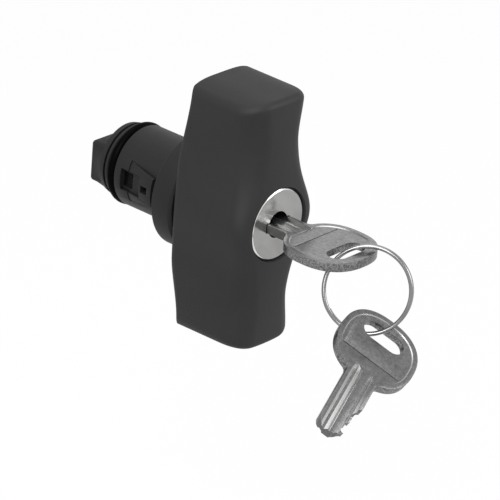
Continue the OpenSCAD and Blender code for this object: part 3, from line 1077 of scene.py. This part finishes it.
@dataclass(frozen=True)
class Fineness:
    """Steps of the grip's form.

    Args:
        levels: Levels in each half of the height.
        rim: Levels in the rounding of each end.
        back: Steps of the back edges.
        front: Steps of the front edges and of the flats.
    """

    levels: int
    rim: int
    back: int
    front: int


@dataclass
class Grip:
    """Moulded grip with its boss, and the screws in its back plate."""

    levels: Levels
    height: float = 67.18
    depth: float = 22.0
    back_end: float = 22.8
    back_mid: float = 30.6
    front_end: float = 22.6
    waist: float = 17.4
    waist_z: float = 20.0
    boss: float = 27.4
    spread: float = 11.0
    fall: float = 1.2
    fall_spread: float = 1.2
    crown: float = 0.9
    front_edge: float = 6.4
    boss_edge: float = 3.4
    back_edge: float = 1.6
    least_edges: Point2 = (0.3, 0.6)
    end_edge: float = 1.8
    arch: float = 1.9
    end_fall: float = 0.2
    power: int = 4
    caps: tuple[float, ...] = (0.75, 0.5, 0.25, 0.08)
    flat: float = 14.0
    wall: float = 2.6
    face_r: float = 9.5
    mouth_gap: float = 0.3
    flare: tuple[Point2, ...] = ((3.2, -3.0), (0.2, -0.55), (0.0, -0.2))
    floor_gap: float = 0.1
    cylinder_r: float = 8.6
    cylinder_gap: float = 0.05
    bore_past: float = 3.0
    screw_gap: float = 46.6
    fine: Fineness = Fineness(56, 9, 5, 14)
    coarse: Fineness = Fineness(16, 1, 1, 3)

    @staticmethod
    def ease(t: float) -> float:
        """Smooth step from 0 to 1."""
        t = min(max(t, 0.0), 1.0)
        return t * t * (3 - 2 * t)

    def bell(self, z: float) -> float:
        """Bell curve of the boss along the height."""
        return math.exp(-(z / self.spread) ** 2)

    def outward(self, z: float, start: float) -> float:
        """Smooth step from a height to the grip's end."""
        return self.ease((abs(z) - start) / (self.height / 2 - start))

    def back_half(self, z: float) -> float:
        """Half the width of the back at a height."""
        return self.back_end / 2 + (self.back_mid - self.back_end) / 2 * (1 - self.outward(z, self.flat))

    def front_half(self, z: float) -> float:
        """Half the width of the front at a height."""
        return (self.waist / 2 + (self.boss - self.waist) / 2 * self.bell(z)
                + (self.front_end - self.waist) / 2 * self.outward(z, self.waist_z))

    def front_y(self, z: float) -> float:
        """Place of the front at a height."""
        return self.levels.boss_front + self.fall * (1 - self.bell(z / self.fall_spread))

    def edge_r(self, z: float) -> float:
        """Radius of the long front edges at a height."""
        return self.front_edge + (self.boss_edge - self.front_edge) * self.bell(z)

    def end_z(self, x: float, y: float) -> float:
        """Height of the end face over a point."""
        return (self.height / 2 - self.arch * (2 * x / self.back_end) ** self.power
                - self.end_fall * (self.levels.handle_back - y) / self.depth)

    @staticmethod
    def fillet(a: Point2, b: Point2, c: Point2, r: float, n: int) -> Profile:
        """Round the corner b between a and c.

        Args:
            a: The point before the corner.
            b: The corner.
            c: The point after it.
            r: Radius of the rounding.
            n: Steps of the rounding.

        Returns:
            Points on the rounding.
        """
        va, vb, vc = (np.array(p, float) for p in (a, b, c))
        u = (va - vb) / np.linalg.norm(va - vb)
        v = (vc - vb) / np.linalg.norm(vc - vb)
        half = math.acos(float(np.clip(u @ v, -1, 1))) / 2
        w = (u + v) / np.linalg.norm(u + v)
        centre = vb + w * r / math.sin(half)
        start, stop = (vb + side * r / math.tan(half) - centre for side in (u, v))
        a0 = math.atan2(start[1], start[0])
        sweep = math.atan2(stop[1], stop[0]) - a0
        if abs(sweep) > math.pi:
            sweep -= math.copysign(2 * math.pi, sweep)
        angles = [a0 + sweep * i / n for i in range(n + 1)]
        return [(centre[0] + r * math.cos(t), centre[1] + r * math.sin(t)) for t in angles]

    def section(self, z: float, inset: float, back: float, steps: Fineness) -> Profile:
        """One section across the height.

        Args:
            z: Height of the section.
            inset: How far its sides and front are drawn in.
            back: Place of its back.
            steps: Steps of its edges and flats.

        Returns:
            The outline in (x, y).
        """
        wb, wf = self.back_half(z) - inset, self.front_half(z) - inset
        front = self.front_y(z) + inset
        rb = max(self.back_edge - inset, self.least_edges[0])
        rf = max(self.edge_r(z) - inset, self.least_edges[1])
        br, fr, fl, bl = (wb, back), (wf, front), (-wf, front), (-wb, back)
        flat, inner = wf - rf, range(1, steps.front)
        points = self.fillet(bl, br, fr, rb, steps.back) + self.fillet(br, fr, fl, rf, steps.front)
        points += [(flat - 2 * flat * i / steps.front, front) for i in inner]
        points += self.fillet(fr, fl, bl, rf, steps.front) + self.fillet(fl, bl, br, rb, steps.back)
        points += [((wb - rb) * (2 * i / steps.front - 1), back) for i in inner]

        def crowned(x: float, y: float) -> float:
            """Place of a point once the front is crowned."""
            forward = ((back - y) / (back - front)) ** self.power
            return y - self.crown * max(0.0, 1 - (x / wf) ** 2) * forward

        return [(x, crowned(x, y)) for x, y in points]

    def form(self, name: str, inset: float, steps: Fineness) -> Piece:
        """Loft the grip's form.

        Args:
            name: Name of the object.
            inset: How far the form is drawn in all round, and moved back.
            steps: Steps of the form.

        Returns:
            The closed form.
        """
        r, back = self.end_edge, self.levels.handle_back + inset
        angles = [math.pi / 2 * i / steps.rim for i in range(1, steps.rim + 1)]
        up = [(1.0, r * (1 - math.sin(a)), r * (1 - math.cos(a))) for a in angles]
        rows = [(-1.0, sink, draw) for _, sink, draw in reversed(up)]
        rows += [(i / steps.levels, r, 0.0) for i in range(-steps.levels, steps.levels + 1)] + up
        rings = []
        for share, sink, draw in rows:
            z = share * (self.height / 2 - inset - sink)
            ring = self.section(z, inset + draw, back, steps)
            rings.append([(x, y, share * (self.end_z(x, y) - inset - sink)) for x, y in ring])
        caps = [self.shrink(rings[-1], inset, part) for part in self.caps]
        lower = [[(x, y, -z) for x, y, z in ring] for ring in reversed(caps)]
        return Forge.loft(name, lower + rings + caps)

    def shrink(self, ring: Sequence[Point3], inset: float, part: float) -> list[Point3]:
        """Draw a ring in on the end face.

        Args:
            ring: The ring round the upper end face.
            inset: How far the form is drawn in.
            part: Share of the ring's size that is left.

        Returns:
            The smaller ring, on the same arched face.
        """
        middle = sum(p[1] for p in ring) / len(ring)
        points = [(x * part, middle + (y - middle) * part) for x, y, _ in ring]
        return [(x, y, self.end_z(x, y) - inset) for x, y in points]

    def build(self) -> Piece:
        """Build the grip with its lock bore and the seat of the back plate.

        Returns:
            The grip.
        """
        lv = self.levels
        obj = self.form("grip_shell", 0, self.fine)
        seat = self.form("seat", self.wall, self.coarse)
        Forge.keep(seat, Forge.block("depth", centred(3 * FAR, 3 * FAR), lv.plate_front, 2 * FAR, Axis.Y))
        mouth, bore = self.face_r + self.mouth_gap, self.cylinder_r + self.cylinder_gap
        floor, end = lv.face_back + self.floor_gap, lv.handle_back + self.bore_past
        flare = [(mouth + r, lv.boss_front + y) for r, y in self.flare]
        profile = [(0, flare[0][1]), *flare, (mouth, floor), (bore, floor), (bore, end), (0, end)]
        Forge.cut(obj, seat, Forge.lathe("bore", profile))
        return Forge.shade(obj, 30)

    def dress(self, finishes: Finishes) -> None:
        """Build and dress the grip's pieces.

        Args:
            finishes: The materials.
        """
        settle(self.build(), finishes.grip, "handle", Slot.GRIP, "handle_grip")
        ScrewRow("grip_screws", "plate_screws", seat=self.levels.handle_back, shank=1.45, head=2.9,
                 head_t=1.5, length=8.0, count=2, spacing=self.screw_gap).dress(finishes)
        finishes.dress_nodes(Slot.BARREL, "back_plate")
        finishes.dress_nodes(Slot.STEEL, "stop_pin", "cylinder_pin")
        finishes.dress_nodes(Slot.SEAL, "spindle_seal")


@dataclass
class Drive:
    """Flange and tang behind the barrel, with their screw."""

    levels: Levels
    flange: float = 9.8
    flange_land: float = 0.4
    taper: float = 0.3
    root: float = 9.3
    root_sink: float = 0.3
    run_out: float = 3.6
    corner: float = 0.9
    corner_share: float = 0.5
    corner_steps: int = 8
    end_steps: int = 4
    width: float = 16.0
    height: float = 11.0
    socket: float = 3.85
    socket_depth: float = 3.75
    screw: float = 2.0
    screw_l: float = 12.0
    slack: float = 0.05
    head: float = 3.6
    head_t: float = 1.6
    fit: float = 0.15

    def build_tang(self) -> Piece:
        """Join flange and tang and sink the screw's seat.

        Returns:
            The drive end.
        """
        lv = self.levels
        start, end = lv.spindle_end, lv.tang_end
        obj = Forge.lathe("tang_shell", [
            (0, start), (self.flange, start), (self.flange, start + self.flange_land),
            (self.flange - self.taper, lv.flange_back), (0, lv.flange_back)])
        Forge.join(obj, self.tang_form())
        shank, head = self.screw + self.fit, self.head + self.fit
        socket = centred(self.socket, self.socket)
        Forge.cut(obj, Forge.block("socket", socket, start - PAST, start + self.socket_depth, Axis.Y),
                  Forge.lathe("seat", [(0, start + PAST), (shank, start + PAST), (shank, end - self.head_t),
                                       (head, end), (head, end + PAST), (0, end + PAST)], 64))
        return Forge.shade(obj)

    def tang_ring(self, inset: float) -> Profile:
        """Outline of the tang in (x, z) with rounded corners.

        Args:
            inset: How far the outline is drawn in.

        Returns:
            The outline.
        """
        r, steps = self.corner - inset * self.corner_share, self.corner_steps
        x, z = self.width / 2 - inset - r, self.height / 2 - inset - r
        arcs = []
        for k, (sx, sz) in enumerate(((1, 1), (-1, 1), (-1, -1), (1, -1))):
            angles = [math.radians(90 * (k + i / steps)) for i in range(steps + 1)]
            arcs.append([(sx * x + r * math.cos(a), sz * z + r * math.sin(a)) for a in angles])
        ring: Profile = []
        for arc, after in zip(arcs, arcs[1:] + arcs[:1]):
            (x0, z0), (x1, z1) = arc[-1], after[0]
            ring += arc
            ring += [(x0 + (x1 - x0) * j / steps, z0 + (z1 - z0) * j / steps) for j in range(1, steps)]
        return ring

    def tang_form(self) -> Piece:
        """Loft the tang out of its round root, with a rounded end.

        Returns:
            The tang.
        """
        lv = self.levels
        full = self.tang_ring(0)
        bearings = [math.atan2(z, x) for x, z in full]
        root = [(self.root * math.cos(a), self.root * math.sin(a)) for a in bearings]
        rows = [(lv.flange_back - self.root_sink, root), (lv.flange_back, root)]
        rows.append((lv.flange_back + self.run_out, full))
        for i in range(self.end_steps + 1):
            a = math.pi / 2 * i / self.end_steps
            ring = self.tang_ring(self.corner * (1 - math.cos(a)))
            rows.append((lv.tang_end - self.corner * (1 - math.sin(a)), ring))
        return Forge.loft("tang", [[(x, y, z) for x, z in ring] for y, ring in rows])

    def dress(self, finishes: Finishes) -> None:
        """Build and dress the drive end.

        Args:
            finishes: The materials.
        """
        settle(self.build_tang(), finishes.barrel, "handle", Slot.BARREL, "drive_tang")
        ScrewRow("drive_screw", "tang_screw", seat=self.levels.tang_end, shank=self.screw - self.slack,
                 head=self.head, head_t=self.head_t, length=self.screw_l).dress(finishes)


@dataclass
class Lock:
    """Plug with its bright face and keyhole, and the works behind it."""

    levels: Levels
    face: float = 9.65
    crown: float = 0.75
    bevel: float = 0.6
    bevel_mid: Point2 = (0.12, 0.3)
    plug: float = 6.8
    shoulder: float = 1.3
    journal: float = 5.2
    clip_sink: float = 0.7
    clip_span: Point2 = (0.05, 0.85)
    tail: float = 1.9
    slot_half: float = 4.3
    slot_h: float = 1.3
    slot_end: float = 0.4
    mouth: float = 3.5
    mouth_depth: float = 2.4
    edge: float = 0.1
    margins: Point3 = (0.05, 0.15, 0.3)

    def build_plug(self) -> Piece:
        """Turn the plug and cut its keyhole.

        Returns:
            The plug.
        """
        lv = self.levels
        front, back = lv.lock_face - self.crown, lv.cylinder_back
        clip_front, clip_back = (back + y for y in self.clip_span)
        clip = self.journal - self.clip_sink
        obj = Forge.lathe("plug_shell", [
            (0, front), (self.face - self.bevel, front),
            (self.face - self.bevel_mid[0], front + self.bevel_mid[1]), (self.face, front + self.bevel),
            (self.face, lv.face_back), (self.plug, lv.face_back), (self.plug, back - self.shoulder),
            (self.journal, back - self.shoulder), (self.journal, clip_front), (clip, clip_front),
            (clip, clip_back), (self.journal, clip_back), (self.journal, back + self.tail),
            (0, back + self.tail)], 192)
        keyway, ahead = centred(self.slot_half, self.slot_h), lv.lock_face - PAST
        Forge.cut(obj, Forge.block("keyway", keyway, ahead, back - self.slot_end, Axis.Y),
                  Forge.block("mouth", disc(self.mouth), ahead, lv.lock_face + self.mouth_depth, Axis.Y))
        return Forge.shade(Forge.round_edges(obj, self.edge), 20)

    def finish_faces(self, plug: Piece, finishes: Finishes) -> None:
        """Paint shade into the keyway with a dark finish and a highlight onto the face's bevel with a bright
        one.

        Args:
            plug: The finished plug.
            finishes: The materials.
        """
        plug.data.materials.append(finishes.keyway_shade)
        plug.data.materials.append(finishes.rim)
        around, ahead, behind = self.margins
        inside = math.hypot(self.slot_half, self.slot_h) + around
        first, last = self.levels.lock_face - self.crown + ahead, self.levels.cylinder_back - behind
        # Keyway faces take the painted shade (index 1). The bevel round the face takes the painted highlight
        # (index 2).
        for face in plug.data.polygons:
            x, y, z = (c / MM for c in face.center)
            if math.hypot(x, z) < inside and first < y < last:
                face.material_index = 1
            elif math.hypot(x, z) > self.face - self.bevel and y < first + self.bevel:
                face.material_index = 2

    def dress(self, finishes: Finishes) -> None:
        """Build and dress the lock.

        Args:
            finishes: The materials.
        """
        plug = settle(self.build_plug(), finishes.face, "plug", Slot.LOCK, "lock_plug")
        self.finish_faces(plug, finishes)
        finishes.dress_nodes(Slot.LOCK, "lock_cylinder", "tail_cam")
        finishes.dress_nodes(Slot.STEEL, "plug_clip", "lock_bolt")
        finishes.dress_nodes(Slot.WAFER, "wafer_set")


@dataclass
class Keys:
    """The key in the lock, the split ring and the spare key."""

    levels: Levels
    thick: float = 2.3
    bow_w: float = 21.6
    bow_l: float = 22.0
    roundness: float = 2.4
    blade_w: float = 8.3
    blade_l: float = 21.9
    gap: float = 7.0
    neck: Point3 = (0.25, 0.15, 0.6)
    neck_gap: float = 0.45
    bow_steps: int = 200
    panel_steps: int = 96
    slot_l: float = 11.6
    slot_w: float = 5.5
    strip: float = 3.4
    rim: float = 1.25
    rim_slope: float = 0.24
    panel_start: float = 2.2
    panel_v: float = 6.3
    panel_sink: float = 0.22
    line_half: Point2 = (8.2, 0.14)
    bites: tuple[float, ...] = (0.9, 1.6, 1.2, 1.9, 2.3)
    bite_pitch: float = 1.86
    bite_start: float = 3.8
    bite_flat: float = 0.30
    bite_lead: float = 0.75
    tip_left: tuple[Point2, ...] = ((0.0, 2.6), (0.5, 1.4), (1.9, 0.0))
    tip_right: tuple[Point2, ...] = ((3.6, 0.0), (3.2, 0.7), (2.6, 0.9), (2.0, 1.6), (1.3, 2.4))
    wards: tuple[tuple[float, ...], ...] = (
        (-2.1, 2.2, 0.68, 3.6), (-0.6, 0.45, 0.3, 1.4), (2.3, 1.5, 0.66, 2.6))
    ward_past: float = 2.0
    ward_run: Point2 = (3.4, 1.6)
    ward_taper: float = 0.72
    ward_point: Point2 = (0.03, 0.02)
    ward_lift: float = 0.4
    ward_waist: float = 0.35
    edge: float = 0.1
    # The spare key's lower tone is painted shade: both keys are the same nickel.
    key_and_shaded_spare_tones: Point2 = (0.31, 0.185)
    slopes: Point2 = (0.25, 0.93)
    upright: float = 0.1
    ring_d: float = 22.6
    wire: float = 1.1
    turns: float = 1.8
    wire_start: float = 214.0
    wire_steps: int = 361
    wire_rise: float = 0.52
    bearing: float = -58.4
    lean: float = 19.6
    play: float = 0.82
    hang_x: float = 3.85
    hang_y: float = -0.8
    spare_angle: float = 288.5
    spare_roll: float = -35.5
    spare_tilt: float = 56.5
    spare_yaw: float = 10.0
    spare_hang: Point2 = (-2.1, 0.5)

    @property
    def slot_v(self) -> float:
        """Distance of the slot from the start of the bow."""
        return self.bow_l - self.strip - self.slot_w / 2

    @property
    def ring_r(self) -> float:
        """Radius of the ring's wire centre."""
        return self.ring_d / 2 - self.wire / 2

    def bow(self, grow: float, steps: int) -> Profile:
        """Outline of the bow.

        Args:
            grow: How far the outline is grown.
            steps: Number of points.

        Returns:
            The points.
        """
        points = []
        e = 2 / self.roundness
        for i in range(steps):
            a = math.radians(-90 + 360 * i / steps)
            c, s = math.cos(a), math.sin(a)
            points.append(((self.bow_w / 2 + grow) * math.copysign(abs(c) ** e, c),
                           self.bow_l / 2 + (self.bow_l / 2 + grow) * math.copysign(abs(s) ** e, s)))
        return points

    def blank(self) -> Profile:
        """Outline of bow and blade in one.

        Returns:
            The outline.
        """
        edge, pitch, tip = self.blade_w / 2, self.bite_pitch, -self.blade_l
        out, top, low = self.neck
        start = -(self.gap + self.bite_start)
        root = edge + out + self.neck_gap
        head = [p for p in self.bow(0, self.bow_steps) if not (abs(p[0]) < root and p[1] < self.bow_l / 2)]
        cuts: Profile = []
        for i, bite in enumerate(self.bites):
            v = start - i * pitch
            cuts += [(edge - bite, v + pitch * self.bite_flat), (edge - bite, v - pitch * self.bite_flat)]
        left = [(-edge - out, top), (-edge, -low)] + [(-edge + x, tip + v) for x, v in self.tip_left]
        right = [(edge - x, tip + v) for x, v in self.tip_right] + cuts[::-1]
        right += [(edge, start + pitch * self.bite_lead), (edge, -low), (edge + out, top)]
        return head + left + right

    def build_key(self, name: str) -> Piece:
        """Shape one key flat in its own plane.

        Args:
            name: Name of the object.

        Returns:
            The key, with its blade along -Y.
        """
        half, above = self.thick / 2, 5
        obj = Forge.block(name, self.blank(), -half, half, Axis.Z)
        slot = stadium(self.slot_l, self.slot_w, (0, self.slot_v))
        Forge.cut(obj, Forge.block("slot", slot, -above, above, Axis.Z))
        across, along = self.line_half
        line = box_outline(-across, across, self.panel_v - along, self.panel_v + along)
        field = box_outline(-2 * FAR, 2 * FAR, self.panel_start, 2 * FAR)
        for side in (1, -1):
            floor = side * (half - self.panel_sink)
            rows = ((-self.rim - self.rim_slope, floor), (-self.rim, side * half), (-self.rim, side * above))
            rings = [[(u, v, w) for u, v in self.bow(grow, self.panel_steps)] for grow, w in rows]
            panel = Forge.loft("panel", rings)
            Forge.keep(panel, Forge.block("field", field, -FAR, FAR, Axis.Z))
            Forge.cut(obj, panel,
                      Forge.block("line", line, floor - side * self.panel_sink, side * above, Axis.Z),
                      *[self.ward(side, *sizes) for sizes in self.wards])
        return Forge.shade(Forge.round_edges(obj, self.edge), 30)

    def ward(self, side: int, centre: float, width: float, depth: float, top: float) -> Piece:
        """Cutter for one groove of the blade, with a pointed run-out.

        Args:
            side: 1 for the upper face, -1 for the lower one.
            centre: Place across the blade, seen on its own face.
            width: Width of the groove.
            depth: Depth of the groove.
            top: Where its point ends on the bow.

        Returns:
            The cutter.
        """
        face, w, taper = side * self.thick / 2, width / 2, self.ward_taper
        lift, waist = self.ward_lift, self.ward_waist
        start, bend = self.ward_run
        rows = [(-self.blade_l - self.ward_past, w, depth), (top - start, w, depth),
                (top - bend, w * taper, depth * taper), (top, *self.ward_point)]
        rings = []
        for v, half, d in rows:
            shape = ((-1, lift), (-1, 0), (-waist, -d), (waist, -d), (1, 0), (1, lift))
            rings.append([(centre * side + half * u, v, face + side * h) for u, h in shape])
        return Forge.loft("ward", rings)

    def key_matrix(self) -> Matrix:
        """Place of the key in the lock, in metres."""
        return shift(0, self.levels.lock_face - self.gap, 0) @ turn(180, "X")

    def ring_matrix(self) -> Matrix:
        """Place of the ring, in metres, with its axis along its own Z.

        Returns:
            The matrix.
        """
        hang = self.levels.lock_face - self.gap - self.bow_l + self.strip / 2 + self.hang_y
        half = self.thick / 2 / math.cos(math.radians(self.lean))
        drop = self.ring_r - self.wire / 2 - half - self.play
        leant = shift(self.hang_x, hang, 0) @ turn(self.bearing, "Z") @ turn(90 - self.lean, "X")
        return leant @ shift(0, -drop, 0)

    def spare_matrix(self) -> Matrix:
        """Place of the spare key, in metres.

        Returns:
            The matrix.
        """
        a = math.radians(self.spare_angle)
        on_ring = self.ring_matrix() @ shift(self.ring_r * math.cos(a), self.ring_r * math.sin(a), 0)
        swung = on_ring @ turn(self.spare_roll, "Z") @ turn(-self.spare_tilt, "X") @ turn(self.spare_yaw, "Z")
        return swung @ shift(-self.spare_hang[0], -(self.slot_v + self.spare_hang[1]), 0)

    def finish_faces(self, key: Piece, place: Matrix, finishes: Finishes) -> None:
        """Paint highlights onto the sloped faces of a key and shade onto the upright walls of its bow.

        Args:
            key: The finished key.
            place: Where the key lies, in metres.
            finishes: The materials.
        """
        key.data.materials.append(finishes.slope_highlight)
        key.data.materials.append(finishes.bow_wall_shade)
        back = place.inverted()
        flat = back.to_3x3()
        low, high = self.slopes
        for face in key.data.polygons:
            lean = abs((flat @ face.normal).z)
            # Sloped faces take the painted highlight.
            if low < lean < high:
                face.material_index = 1
            # Upright walls of the bow take the painted shade.
            elif lean < self.upright and (back @ face.center).y > 0:
                face.material_index = 2

    def ring_tree(self, material: Material) -> Tree:
        """Make the node tree that sweeps a wire along the ring's two coils.

        Args:
            material: The wire's material.

        Returns:
            The tree, with the sizes as named inputs.
        """
        labels = ("Radius", "Wire", "Turns", "Start")
        sockets = dict.fromkeys(labels, "Float")
        tree = start_tree("split_ring_coils", "Geometry", sockets, {"Geometry": "Geometry"})
        given = add_node(tree, "NodeGroupInput").outputs
        radius, wire, turns, start = (given[label] for label in labels)
        line = add_node(tree, "GeometryNodeMeshLine", {"Count": self.wire_steps}).outputs["Mesh"]
        index = add_node(tree, "GeometryNodeInputIndex").outputs[0]
        share = maths(tree, "DIVIDE", index, float(self.wire_steps - 1))
        turned = maths(tree, "MULTIPLY", maths(tree, "MULTIPLY", share, turns), 2 * math.pi)
        angle = maths(tree, "ADD", turned, start)
        first = maths(tree, "DIVIDE", maths(tree, "SUBTRACT", turns, 1.0), turns)
        width = maths(tree, "DIVIDE", maths(tree, "SUBTRACT", 2.0, turns), turns)
        climb = {"Value": share, "From Min": first, "From Max": maths(tree, "ADD", first, width),
                 "To Min": -self.wire_rise, "To Max": self.wire_rise}
        rise = add_node(tree, "ShaderNodeMapRange", climb, interpolation_type="SMOOTHSTEP").outputs["Result"]
        spot = add_node(tree, "ShaderNodeCombineXYZ", {
            0: maths(tree, "MULTIPLY", radius, maths(tree, "COSINE", angle)),
            1: maths(tree, "MULTIPLY", radius, maths(tree, "SINE", angle)),
            2: maths(tree, "MULTIPLY", rise, wire)}).outputs[0]
        path = add_node(tree, "GeometryNodeSetPosition", {"Geometry": line, "Position": spot}).outputs[0]
        curve = add_node(tree, "GeometryNodeMeshToCurve", {0: path}).outputs[0]
        round_wire = {"Resolution": 24, "Radius": maths(tree, "MULTIPLY", wire, 0.5)}
        section = add_node(tree, "GeometryNodeCurvePrimitiveCircle", round_wire).outputs[0]
        swept = {"Curve": curve, "Profile Curve": section, "Fill Caps": True}
        return end_tree(tree, add_node(tree, "GeometryNodeCurveToMesh", swept).outputs[0], material)

    def build_ring(self, material: Material) -> Piece:
        """Sweep the split ring and put it in its place.

        Args:
            material: The wire's material.

        Returns:
            The ring.
        """
        sizes = {"Radius": self.ring_r * MM, "Wire": self.wire * MM, "Turns": self.turns,
                 "Start": math.radians(self.wire_start)}
        obj = grown("ring_wire", self.ring_tree(material), sizes)
        return Forge.shade(Forge.move(obj, self.ring_matrix()), 50)

    def dress(self, finishes: Finishes) -> None:
        """Build and dress both keys and the ring.

        Args:
            finishes: The materials.
        """
        first = Forge.move(self.build_key("key_blank"), self.key_matrix())
        settle(first, finishes.key("key_satin", None, self.key_and_shaded_spare_tones[0]), "key", Slot.KEY, "key_in_lock")
        self.finish_faces(first, self.key_matrix(), finishes)
        spare = Forge.move(self.build_key("spare_blank"), self.spare_matrix())
        lines = self.spare_matrix().to_3x3().inverted().to_4x4()
        # The spare's darker tone is painted shade.
        settle(spare, finishes.key("spare_satin", lines, self.key_and_shaded_spare_tones[1]), "spare", Slot.KEY, "spare_key")
        self.finish_faces(spare, self.spare_matrix(), finishes)
        settle(self.build_ring(finishes.ring), finishes.ring, "ring", Slot.RING, "split_ring")


# Studio


@dataclass(frozen=True)
class Lamp:
    """A soft round lamp: its name, place, target and size in metres, and its power in watts."""

    name: str
    place: Point3
    target: Point3
    size: float
    power: float


@dataclass
class Studio:
    """Camera, lights, white surround and floor."""

    azimuth: float = -49.9
    elevation: float = 25.0
    roll: float = 4.5
    eye: Point3 = (-0.69916, -0.60940, 0.41620)
    lens: float = 291.6
    sensor: float = 36.0
    near: float = 0.05
    floor_z: float = -130.0
    floor_half: float = 6000.0
    floor_grey: float = 0.86
    floor_glow: float = 0.93
    soft: tuple[float, ...] = (0.9, 0.92, 0.95, 1)
    soft_strength: float = 0.45
    lamps: tuple[Lamp, ...] = (
        Lamp("key_lamp", (-0.75, -0.35, 0.75), (0, -0.02, 0), 0.7, 9.6),
        Lamp("fill_lamp", (0.55, -0.85, 0.45), (0, -0.03, 0), 0.6, 5.0),
        Lamp("top_lamp", (0.05, 0.05, 0.95), (0, -0.02, 0), 0.8, 3.0))

    def camera(self) -> None:
        """Set the camera at the photograph's angle."""
        a, e, r = (math.radians(v) for v in (self.azimuth, self.elevation, self.roll))
        right = Vector((math.cos(a), math.sin(a), 0))
        back = Vector((math.sin(a) * math.cos(e), -math.cos(a) * math.cos(e), math.sin(e)))
        up = back.cross(right)
        tilted_right = math.cos(r) * right + math.sin(r) * up
        tilted_up = -math.sin(r) * right + math.cos(r) * up
        data = bpy.data.cameras.new("camera")
        data.lens = self.lens
        data.sensor_width = self.sensor
        data.clip_start = self.near
        cam = Forge.linked("camera", data)
        cam.matrix_world = Matrix((tilted_right, tilted_up, back)).transposed().to_4x4()
        cam.location = self.eye
        bpy.context.scene.camera = cam

    def light(self) -> None:
        """Hang the soft lamps."""
        for lamp in self.lamps:
            data = bpy.data.lights.new(lamp.name, "AREA")
            data.shape = "DISK"
            data.size = lamp.size
            data.energy = lamp.power
            obj = Forge.linked(lamp.name, data)
            obj.location = lamp.place
            aim = Vector(lamp.target) - Vector(lamp.place)
            obj.rotation_euler = aim.to_track_quat("-Z", "Y").to_euler()

    @staticmethod
    def seen_by(tree: Tree, *rays: str) -> Socket:
        """Make a mask that is 1 for some kinds of ray.

        Args:
            tree: The tree that gets the nodes.
            rays: Names of the kinds.

        Returns:
            The mask.
        """
        path = add_node(tree, "ShaderNodeLightPath").outputs
        mask = path[rays[0]]
        for ray in rays[1:]:
            mask = maths(tree, "MAXIMUM", mask, path[ray])
        return mask

    def surround(self) -> None:
        """Make the world: white where it is seen or mirrored, soft grey as light."""
        world = bpy.data.worlds.new("surround")
        bpy.context.scene.world = world
        world.use_nodes = True
        tree = world.node_tree
        tree.nodes.clear()
        mask = self.seen_by(tree, "Is Camera Ray", "Is Glossy Ray", "Is Transmission Ray")
        soft = add_node(tree, "ShaderNodeBackground", {"Color": self.soft, "Strength": self.soft_strength})
        white = add_node(tree, "ShaderNodeBackground", {"Color": (1, 1, 1, 1), "Strength": 1.0})
        mix = add_node(tree, "ShaderNodeMixShader", {"Fac": mask, 1: soft.outputs[0], 2: white.outputs[0]})
        add_node(tree, "ShaderNodeOutputWorld", {"Surface": mix.outputs[0]})

    def floor(self) -> None:
        """Lay the pale floor, white to the camera and with a trace of shadow."""
        corners = [(x, y, self.floor_z) for x, y in centred(self.floor_half, self.floor_half)]
        plane = Forge.object_from("floor", corners, [(0, 1, 2, 3)])
        material = bpy.data.materials.new("pale_floor")
        material.use_nodes = True
        tree = material.node_tree
        tree.nodes.clear()
        share = maths(tree, "MULTIPLY", self.seen_by(tree, "Is Camera Ray", "Is Glossy Ray"), self.floor_glow)
        matt = add_node(tree, "ShaderNodeBsdfDiffuse", {"Color": (*(self.floor_grey,) * 3, 1)})
        glow = add_node(tree, "ShaderNodeEmission", {"Strength": 1.0})
        mix = add_node(tree, "ShaderNodeMixShader", {"Fac": share, 1: matt.outputs[0], 2: glow.outputs[0]})
        add_node(tree, "ShaderNodeOutputMaterial", {"Surface": mix.outputs[0]})
        plane.data.materials.append(material)

    def build(self) -> None:
        """Set up the whole studio."""
        bpy.context.scene.view_settings.view_transform = "Standard"
        self.camera()
        self.light()
        self.surround()
        self.floor()


def main() -> None:
    """Build the lock's looks in order."""
    logging.basicConfig(level=logging.INFO, format="%(name)s %(message)s")
    levels = Levels()
    Studio().build()
    finishes = Finishes()
    for part in (Grip(levels), Barrel(levels), Drive(levels), Lock(levels), Keys(levels)):
        LOG.info("building %s", type(part).__name__)
        part.dress(finishes)


if __name__ == "__main__":
    main()
